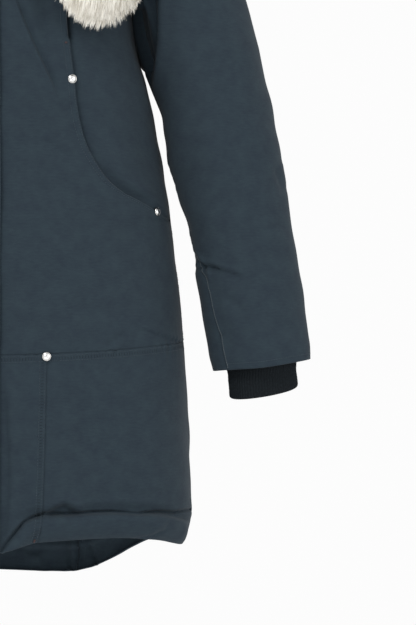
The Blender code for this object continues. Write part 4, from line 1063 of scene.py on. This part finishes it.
def make_underfur(strip):
    """The skin and underfur, inside the hair."""
    s = spaced(UNDERFUR_INSET, strip[0][-1] - UNDERFUR_INSET, 0.006)
    turn = np.radians(np.arange(0, 360, 12))
    centre, _, across, out, *size = (part[:, None] for part in at_length(strip, s))
    wide, thick = (half * share[:, None] for half, share in zip(size, underfur_share(strip, s)))
    ring = around(across, out, turn, wide, thick)
    grid = centre + ring
    grid = grid + unit(ring) * (0.0012 * waves(grid, 101, 0.02))[..., None]
    faces = facing(grid, grid_faces(len(s), len(turn), closed=True), ring[0, 0])
    uv = np.full((*grid.shape[:2], 2), (0.5, 0.15))
    settle(add_mesh("fur_underfur", grid, faces, "fur_under", uv), "fur_ruff")


def chest_hair(strip, end, s, turn, reach):
    """Root, tip and bow of hair at the end on this side. s is how far up the strip its tip is."""
    sine, cosine = np.sin(turn), np.cos(turn)
    wide = read(FUR_END, s, 2)

    def at(place):
        return at_length(strip, strip[0][-1] - place if end < 0 else place)

    def tip_at(place):
        centre, _, across, out, _, _ = at(place)
        return centre + around(across, out, turn, wide, read(FUR_END, place - FUR_END_AT, 1))

    tip_s = FUR_END_AT + s
    for _ in range(4):
        seen = picture(tip_at(tip_s) * (end, 1, 1))
        tip_s = tip_s + 0.001 * (seen[:, 1] - 1.5 - read(FUR_EDGE, seen[:, 0], 1)) + 0.9 * s
        tip_s = np.clip(tip_s, FUR_END_AT, 0.24)
    tip = tip_at(tip_s)
    # The lowest locks run together to points of uneven length.
    lock = np.round(seen[:, 0] / LOCK_PITCH)
    beside = lock * LOCK_PITCH + 0.8 * np.sin(lock * 12.99) - seen[:, 0]
    low = smooth(1.25 - s / 0.016)
    tip[:, 0] += end * 0.0009 * beside * low
    tip[:, 2] += (0.0044 * np.abs(beside) + 0.0036 * (0.5 + 0.5 * np.sin(lock * 78.2))) * low
    root_s = np.maximum(tip_s + reach, UNDERFUR_INSET + 0.001)
    centre, _, across, out, width, thickness = at(root_s)
    wide_share, thick_share = underfur_share(strip, root_s)
    root = centre + around(across, out, turn, width * wide_share, thickness * thick_share)
    bow = across * (cosine * 0.004)[:, None] + out * (np.maximum(sine, 0) * 0.006)[:, None]
    return root, tip, bow


def strip_hair(strip, s, turn, reach):
    """Root, tip and bow of hair on the rest of the strip. s is where its root is."""
    centre, along, across, out, width, thickness = at_length(strip, s)
    whole = strip[0][-1]
    ring = around(across, out, turn, width, thickness)
    root = centre + 0.96 * around(across, out, turn, width * UNDERFUR_WIDTH, thickness * UNDERFUR_THICKNESS)
    to_end = np.where((s < whole / 2)[:, None], -along, along)
    chest = 1 - smooth((np.minimum(s, whole - s) - 0.14) / 0.2)
    comb = to_end * 0.9 * chest[:, None] - Z * 0.5 + unit(ring) * 0.25
    comb = unit(comb + across * (np.cos(turn) * 0.3)[:, None])
    clear = (comb * out).sum(-1, keepdims=True)
    comb = unit(comb - out * np.minimum(clear, 0) * 0.9)
    return root, centre + ring * 0.82 + comb * (reach * 0.62)[:, None], unit(ring) * 0.005


def make_fur():
    """Hair, in locks whose tips run together. More of it hangs on the chest, near the eye."""
    strip = fur_strip()
    make_underfur(strip)
    whole = strip[0][-1]
    r = np.random.default_rng(7)
    for name, low, high, count, end in (
        ("fur_end_left", 0, 0.19, 35000, 1), ("fur_end_right", 0, 0.19, 15000, -1),
        ("fur_side_left", 0.18, 0.42, 12000, 0), ("fur_side_right", whole - 0.42, whole - 0.18, 12000, 0),
        ("fur_back", 0.42, whole - 0.42, 14000, 0),
    ):
        hair = partial(chest_hair, strip, end) if end else partial(strip_hair, strip)
        locks = count // 10
        lock_s, lock_turn = r.uniform(low, high, locks), r.uniform(-1, math.pi + 1, locks)
        if end:
            lock_s = high * r.random(locks) ** 1.15
            level = r.random(locks) < 0.85
            lock_turn = np.where(level, np.arccos(r.uniform(-1, 1, locks)), lock_turn)
        lock_reach = r.uniform(0.030, 0.042, locks)
        pick = r.integers(0, locks, count)
        stray = r.random(count) < 0.1
        s = np.clip(lock_s[pick] + r.normal(0, 0.003, count), low, high)
        turn = lock_turn[pick] + r.normal(0, 0.075, count) * np.where(stray, 1.6, 1)
        reach = lock_reach[pick] * r.uniform(0.85, 1.1, count)
        root, tip, bow = hair(s, turn, reach)
        lock_tip = hair(lock_s, lock_turn, lock_reach)[1] + r.normal(0, 0.0005, (locks, 3))
        gather = np.where(stray, 0.1, r.uniform(0.55, 0.9, count))[:, None]
        tip = tip + (lock_tip[pick] - tip) * gather
        path = np.stack([root + (tip - root) * k + bow * math.sin(math.pi * k) for k in HAIR_SHARES], axis=1)
        path[:, 1:] += np.cumsum(r.normal(0, 0.00045, (count, 3, 3)), axis=1)
        flow = unit(path[:, 3] - path[:, 0])
        flat = unit(np.cross(flow, unit(bow) + r.normal(0, 0.35, (count, 3))))
        flat = flat * r.uniform(0.00016, 0.0003, count)[:, None] * (1 if end > 0 else 1.9)
        strands = [path[:, k] + flat * half for k in range(3) for half in (-HAIR_TAPER[k], HAIR_TAPER[k])]
        tone = r.random(count) * 0.4 + 0.6 * r.random(locks)[pick]
        uv = np.stack(np.broadcast_arrays(tone[:, None], np.repeat(HAIR_SHARES, 2)[:-1]), axis=-1)
        faces = copies(((0, 1, 3), (0, 3, 2), (2, 3, 5), (2, 5, 4), (4, 5, 6)), count, 7)
        settle(add_mesh(name, np.stack((*strands, path[:, 3]), axis=1), faces, "fur_hair", uv))


# Topstitching and rivets.


def inset_line(name, side, inset, lift=0.0002):
    """Points and normals along a shell at a distance from one of its edges."""
    grid, normal, inward = SHELLS[name]
    if inward:
        side = OPPOSITE.get(side, side)
    if side in ("low", "high"):
        grid, normal = grid.swapaxes(0, 1), normal.swapaxes(0, 1)
    if side in ("far", "high"):
        grid, normal = grid[:, ::-1], normal[:, ::-1]
    found = [[interp(inset, run(line), part) for part in (line, n)] for line, n in zip(grid, normal)]
    points, normals = np.swapaxes(found, 0, 1)
    return points + unit(normals) * lift, unit(normals)


AROUND = [(i, (i + 1) % 4) for i in range(4)]
STITCH_FACES = ([(0, 1 + j, 1 + i) for i, j in AROUND] + [(1 + i, 1 + j, 5 + j) for i, j in AROUND]
                + [(1 + i, 5 + j, 5 + i) for i, j in AROUND] + [(9, 5 + i, 5 + j) for i, j in AROUND])


def stitched(name, lines, look, pitch=0.0031, long=0.0021, thick=0.0003):
    """One mesh of separate stitches along the lines, each a rod of four sides with pointed ends."""
    stitches = []
    for points, normals in lines:
        at = run(points)
        middle = np.arange(pitch, at[-1] - pitch / 2, pitch)
        a, b = interp(middle - long / 2, at, points), interp(middle + long / 2, at, points)
        n = unit(interp(middle, at, normals))
        beside, up = unit(np.cross(unit(b - a), n)) * thick, n * thick * 0.9
        rod = [a + (b - a) * k + off for k in (0.22, 0.78) for off in (beside, up, -beside, -up)]
        stitches.append(np.stack((a - n * thick, *rod, b - n * thick), axis=1))
    stitches = np.concatenate(stitches)
    settle(add_mesh(name, stitches, copies(STITCH_FACES, len(stitches), 10), look))


def bartack(at, way, normal, length):
    """Three short close rows of stitches across a line, as lines for stitched()."""
    beside = unit(np.cross(normal, way))
    lines = []
    for k in (-1, 0, 1):
        points = at + beside * k * 0.0007 + way * length * np.linspace(-0.5, 0.5, 8)[:, None]
        lines.append((points + normal * 0.0003, np.tile(normal, (8, 1))))
    return lines


def ladder(name, side, inner, outer, pitch=0.0034):
    """Short lines across between two rows of stitches: dark rods of painted shade for the dents that they
    press into the cloth.
    """
    (a, normals), (b, _) = inset_line(name, side, inner, 0), inset_line(name, side, outer, 0)
    at = run(a)
    places = np.arange(pitch, at[-1] - pitch, pitch)
    rungs = zip(*(interp(places, at, part) for part in (a, b, unit(normals))))
    return [(np.linspace(start, end, 5), np.tile(unit(n), (5, 1))) for start, end, n in rungs]


def make_stitching():
    for side, name in SIDES:
        lines = [inset_line(f"{node}_{name}", edge, off) for node, edge, insets in STITCHED for off in insets]
        stitched(f"stitches_{name}", lines, "thread", *((0.0031, 0.0021) if side > 0 else (0.004, 0.0028)))
        # Close-set pale stitches along the upper sleeve's folded seam edge, low on the arm: a painted
        # highlight of that edge, made of thread.
        points, normals = inset_line(f"sleeve_upper_{name}", "far", 0.0009)
        low = points[:, 2] < -0.43
        edge = [(points[low], normals[low])]
        stitched(f"edge_highlight_stitches_{name}", edge, "thread_painted_highlight", 0.0026, 0.0026, 0.00042)
        # Dark rods between the twin rows: painted shade in the dents that the stitches press in.
        marks = ladder(f"front_lower_{name}", "far", 0.0022, 0.0078)
        for node in ("front_lower", "front_skirt"):
            marks += ladder(f"{node}_{name}", "high", 0.0024, 0.008)
        stitched(f"painted_dent_shade_{name}", marks, "painted_dent_shade", 0.0028, 0.0044, 0.00034)
        points, normals = inset_line(f"front_lower_{name}", "far", 0.0045, 0.0004)
        k = int(len(points) * 0.035)
        tacks = bartack(points[k], unit(points[k + 1] - points[k]), normals[k], 0.006)
        points, normals = inset_line(f"front_center_{name}", "far", 0.0045, 0.0004)
        k = int(np.argmin(np.abs(points[:, 2] - SLIT_START + 0.0005)))
        tacks += bartack(points[k], X, normals[k], 0.0055)
        stitched(f"bartacks_{name}", tacks, "thread_pink", 0.0016, 0.0014)
    lines = [inset_line("back_lower_center", "high", inset) for inset in TWIN_HIGH]
    lines += [inset_line("placket", edge, 0.004) for edge in ("far", "near")]
    stitched("stitches_center", lines, "thread")


def make_rivets():
    """Turned caps: a domed crown, a rolled rim and a collar that sits in the cloth."""
    turns = np.arange(0, 360, 9)
    sine, cosine = (part[:, None] for part in sine_cosine(turns))
    radius, rise = (RIVET_PROFILE * np.array((RIVET_RADIUS, RIVET_HEIGHT))).T[..., None, None]
    rings = len(RIVET_PROFILE)
    i = np.arange(len(turns))
    crown = np.stack((0 * i, 1 + np.roll(i, -1), 1 + i), axis=-1)
    sides = 1 + grid_faces(rings, len(turns), closed=True)
    faces = np.concatenate((crown, sides[:, [0, 1, 2, 0, 2, 3]].reshape(-1, 3)))
    out = np.repeat(np.arange(1, rings + 1) / rings, len(turns))
    # The share out from the crown, which the metal reads for its painted dark reflections and shade.
    uv = np.concatenate(((0,), out))[:, None] * (1, 0)
    for name, height, x in RIVETS:
        level = np.array(height - ARMPIT)
        angle = angle_at(x, level, False)
        for side, hand in SIDES:
            n = outward(angle, level, False) * (side, 1, 1)
            at = surface(angle, level, False) * (side, 1, 1) + n * SEAM
            beside = unit(np.cross(n, Z))
            ring = beside * cosine + np.cross(beside, n) * sine
            points = np.concatenate(([at + n * RIVET_HEIGHT], (at + ring * radius + n * rise).reshape(-1, 3)))
            cap = add_mesh(f"{name}_{hand}_cap", points, facing(points, faces, n), "rivet_silver", uv)
            settle(cap, f"{name}_{hand}")


# Materials.

LOOKS = {}


def new_material(name, colour, roughness, metallic=0, specular=0.5):
    """The node tree and the shader of a new material, which goes into LOOKS."""
    LOOKS[name] = material = bpy.data.materials.new(name)
    material.use_nodes = True
    shader = material.node_tree.nodes["Principled BSDF"]
    shader.inputs["Base Color"].default_value = (*colour, 1)
    shader.inputs["Roughness"].default_value = roughness
    shader.inputs["Metallic"].default_value = metallic
    shader.inputs["Specular IOR Level"].default_value = specular
    return material.node_tree, shader


def made(tree, kind, output, inputs, **settings):
    """An output of a new node whose inputs are set or linked."""
    node = tree.nodes.new(f"ShaderNode{kind}")
    for key, value in settings.items():
        setattr(node, key, value)
    for key, value in inputs.items():
        if hasattr(value, "is_output"):
            tree.links.new(value, node.inputs[key])
        else:
            node.inputs[key].default_value = value
    return node.outputs[output]


def coordinates(tree, kind):
    return made(tree, "TexCoord", kind, {})


def scaled(tree, vector, scale):
    return made(tree, "Mapping", "Vector", {"Vector": vector, "Scale": scale})


def noise(tree, vector, scale, detail):
    return made(tree, "TexNoise", "Fac", {"Vector": vector, "Scale": scale, "Detail": detail})


def maths(tree, operation, *values):
    return made(tree, "Math", "Value", dict(enumerate(values)), operation=operation)


def bump(tree, height, strength, distance, **below):
    inputs = {"Height": height, "Strength": strength, "Distance": distance, **below}
    return made(tree, "Bump", "Normal", inputs)


def ramp(tree, factor, stops):
    node = tree.nodes.new("ShaderNodeValToRGB")
    tree.links.new(factor, node.inputs["Fac"])
    while len(node.color_ramp.elements) < len(stops):
        node.color_ramp.elements.new(0.5)
    for element, (at, colour) in zip(node.color_ramp.elements, stops):
        element.position = at
        element.color = (*colour, 1)
    return node.outputs["Color"]


def multiplied(tree, *colours):
    node = tree.nodes.new("ShaderNodeMix")
    node.data_type, node.blend_type = "RGBA", "MULTIPLY"
    node.inputs["Factor"].default_value = 1
    for colour, socket in zip(colours, (socket for socket in node.inputs if socket.type == "RGBA")):
        tree.links.new(colour, socket)
    return next(socket for socket in node.outputs if socket.type == "RGBA")


def cloth_material():
    """Fine matt canvas: slubs across, a close weave, and a slight unevenness of colour."""
    tree, shader = new_material("cloth_canvas", CLOTH, 0.86, 0, 0.12)
    uv = coordinates(tree, "UV")
    slubs = noise(tree, scaled(tree, uv, (130, 520, 1)), 1, 3)
    uneven = maths(tree, "MULTIPLY_ADD", noise(tree, uv, 62, 5), 0.55, maths(tree, "MULTIPLY", slubs, 0.45))
    stops = [(at, np.multiply(CLOTH, k)) for at, k in ((0.36, CLOTH_DARK), (0.64, CLOTH_LIGHT))]
    tree.links.new(ramp(tree, uneven, stops), shader.inputs["Base Color"])
    weave = bump(tree, noise(tree, scaled(tree, uv, (1600, 1600, 1)), 1, 1), 0.25, 0.0003)
    tree.links.new(bump(tree, uneven, 0.3, 0.0006, Normal=weave), shader.inputs["Normal"])
    shader.inputs["Sheen Weight"].default_value = 0.04
    shader.inputs["Sheen Roughness"].default_value = 0.5


def thread_material(name, colour):
    tree, shader = new_material(name, colour, 0.7, 0, 0.2)
    stops = [(at, np.multiply(colour, k)) for at, k in ((0.35, 0.75), (0.65, 1.25))]
    colour = ramp(tree, noise(tree, coordinates(tree, "Object"), 900, 2), stops)
    tree.links.new(colour, shader.inputs["Base Color"])


def knit_material():
    """Rows of small slanting loops on each rib."""
    tree, shader = new_material("cuff_knit", KNIT, 0.9, 0, 0.1)
    uv = coordinates(tree, "UV")
    across, up = (made(tree, "SeparateXYZ", axis, {"Vector": uv}) for axis in "XY")
    loop = maths(tree, "PINGPONG", maths(tree, "ADD", maths(tree, "PINGPONG", across, 0.5), up), 0.5)
    fuzz = noise(tree, uv, 2, 3)
    tree.links.new(bump(tree, maths(tree, "ADD", loop, fuzz), 0.5, 0.0004), shader.inputs["Normal"])
    stops = [(at, np.multiply(KNIT, k)) for at, k in ((0.3, 0.7), (0.7, 1.35))]
    tree.links.new(ramp(tree, fuzz, stops), shader.inputs["Base Color"])


def fur_material(name, roots, tips):
    """From roots to tips along each hair, times the hair's own tone."""
    tree, shader = new_material(name, tips, 0.55, 0, 0.25)
    tone, up = (made(tree, "SeparateXYZ", axis, {"Vector": coordinates(tree, "UV")}) for axis in "XY")
    middle = np.multiply(roots, 0.25) + np.multiply(tips, 0.75)
    length = ramp(tree, up, ((0, roots), (0.45, middle), (0.9, tips)))
    tree.links.new(multiplied(tree, length, ramp(tree, tone, FUR_TONES)), shader.inputs["Base Color"])


def metal_material():
    """Worn silver in random patches, with painted dark reflections and painted shade in the groove between
    crown and rim and at the collar, by the distance from the crown.
    """
    tree, shader = new_material("rivet_silver", METAL, 0.16, 1)
    patches = noise(tree, coordinates(tree, "Object"), 420, 2)
    worn = ramp(tree, patches, ((0.34, np.multiply(METAL, 0.55)), (0.48, METAL)))
    radius = made(tree, "SeparateXYZ", "X", {"Vector": coordinates(tree, "UV")})
    # Painted dark reflections and shade by the distance from the crown, over the worn patches.
    tree.links.new(multiplied(tree, worn, ramp(tree, radius, RIVET_PAINTED_REFLECTIONS)), shader.inputs["Base Color"])


# Studio and camera.


def area_light(name, size, power, place, target):
    light = bpy.data.lights.new(name, "AREA")
    light.size, light.energy = size, power
    lamp = bpy.data.objects.new(name, light)
    lamp.location = place
    lamp.rotation_euler = (Vector(target) - lamp.location).to_track_quat("-Z", "Y").to_euler()
    placed(lamp)


def make_studio():
    world = bpy.data.worlds.new("studio")
    bpy.context.scene.world = world
    world.use_nodes = True
    background = world.node_tree.nodes["Background"]
    background.inputs["Color"].default_value = (1, 1, 1, 1)
    background.inputs["Strength"].default_value = 0.975
    area_light("key", 1.1, 42, (-1.1, -2.1, 1.6), (0.2, 0, -0.5))
    area_light("fill", 1.2, 14.5, (2.1, -1.6, -0.2), (0.2, 0, -0.6))
    area_light("low", 1.6, 9, (0, -2, -1.9), (0.1, 0.05, -0.9))
    new_material("pale_floor", (0.86, 0.86, 0.86), 0.8)
    square = np.array(((-1, -1), (1, -1), (1, 1), (-1, 1))) * FLOOR_HALF
    corners = [(x, y, FLOOR_HEIGHT) for x, y in square]
    add_mesh("floor", corners, [(0, 1, 2, 3)], "pale_floor")
    view = bpy.context.scene.view_settings
    view.view_transform, view.look = "Standard", "None"
    view.exposure, view.gamma = 0, 1


def make_camera():
    data = bpy.data.cameras.new("camera")
    data.sensor_width = 36
    data.lens = data.sensor_width * -CAMERA[1] / FIELD_HEIGHT
    camera = bpy.context.scene.camera = placed(bpy.data.objects.new("camera", data))
    camera.location = CAMERA
    camera.rotation_euler = (math.radians(90), 0, 0)


cloth_material()
knit_material()
fur_material("fur_hair", FUR_ROOTS, FUR_TIPS)
fur_material("fur_under", UNDERFUR_ROOTS, UNDERFUR_TIPS)
for thread, thread_colour in THREADS:
    thread_material(thread, thread_colour)
metal_material()

make_body()
make_placket()
make_sleeves()
make_collar()
make_hood()
make_cuffs()
make_fur()
make_stitching()
make_rivets()
make_studio()
make_camera()
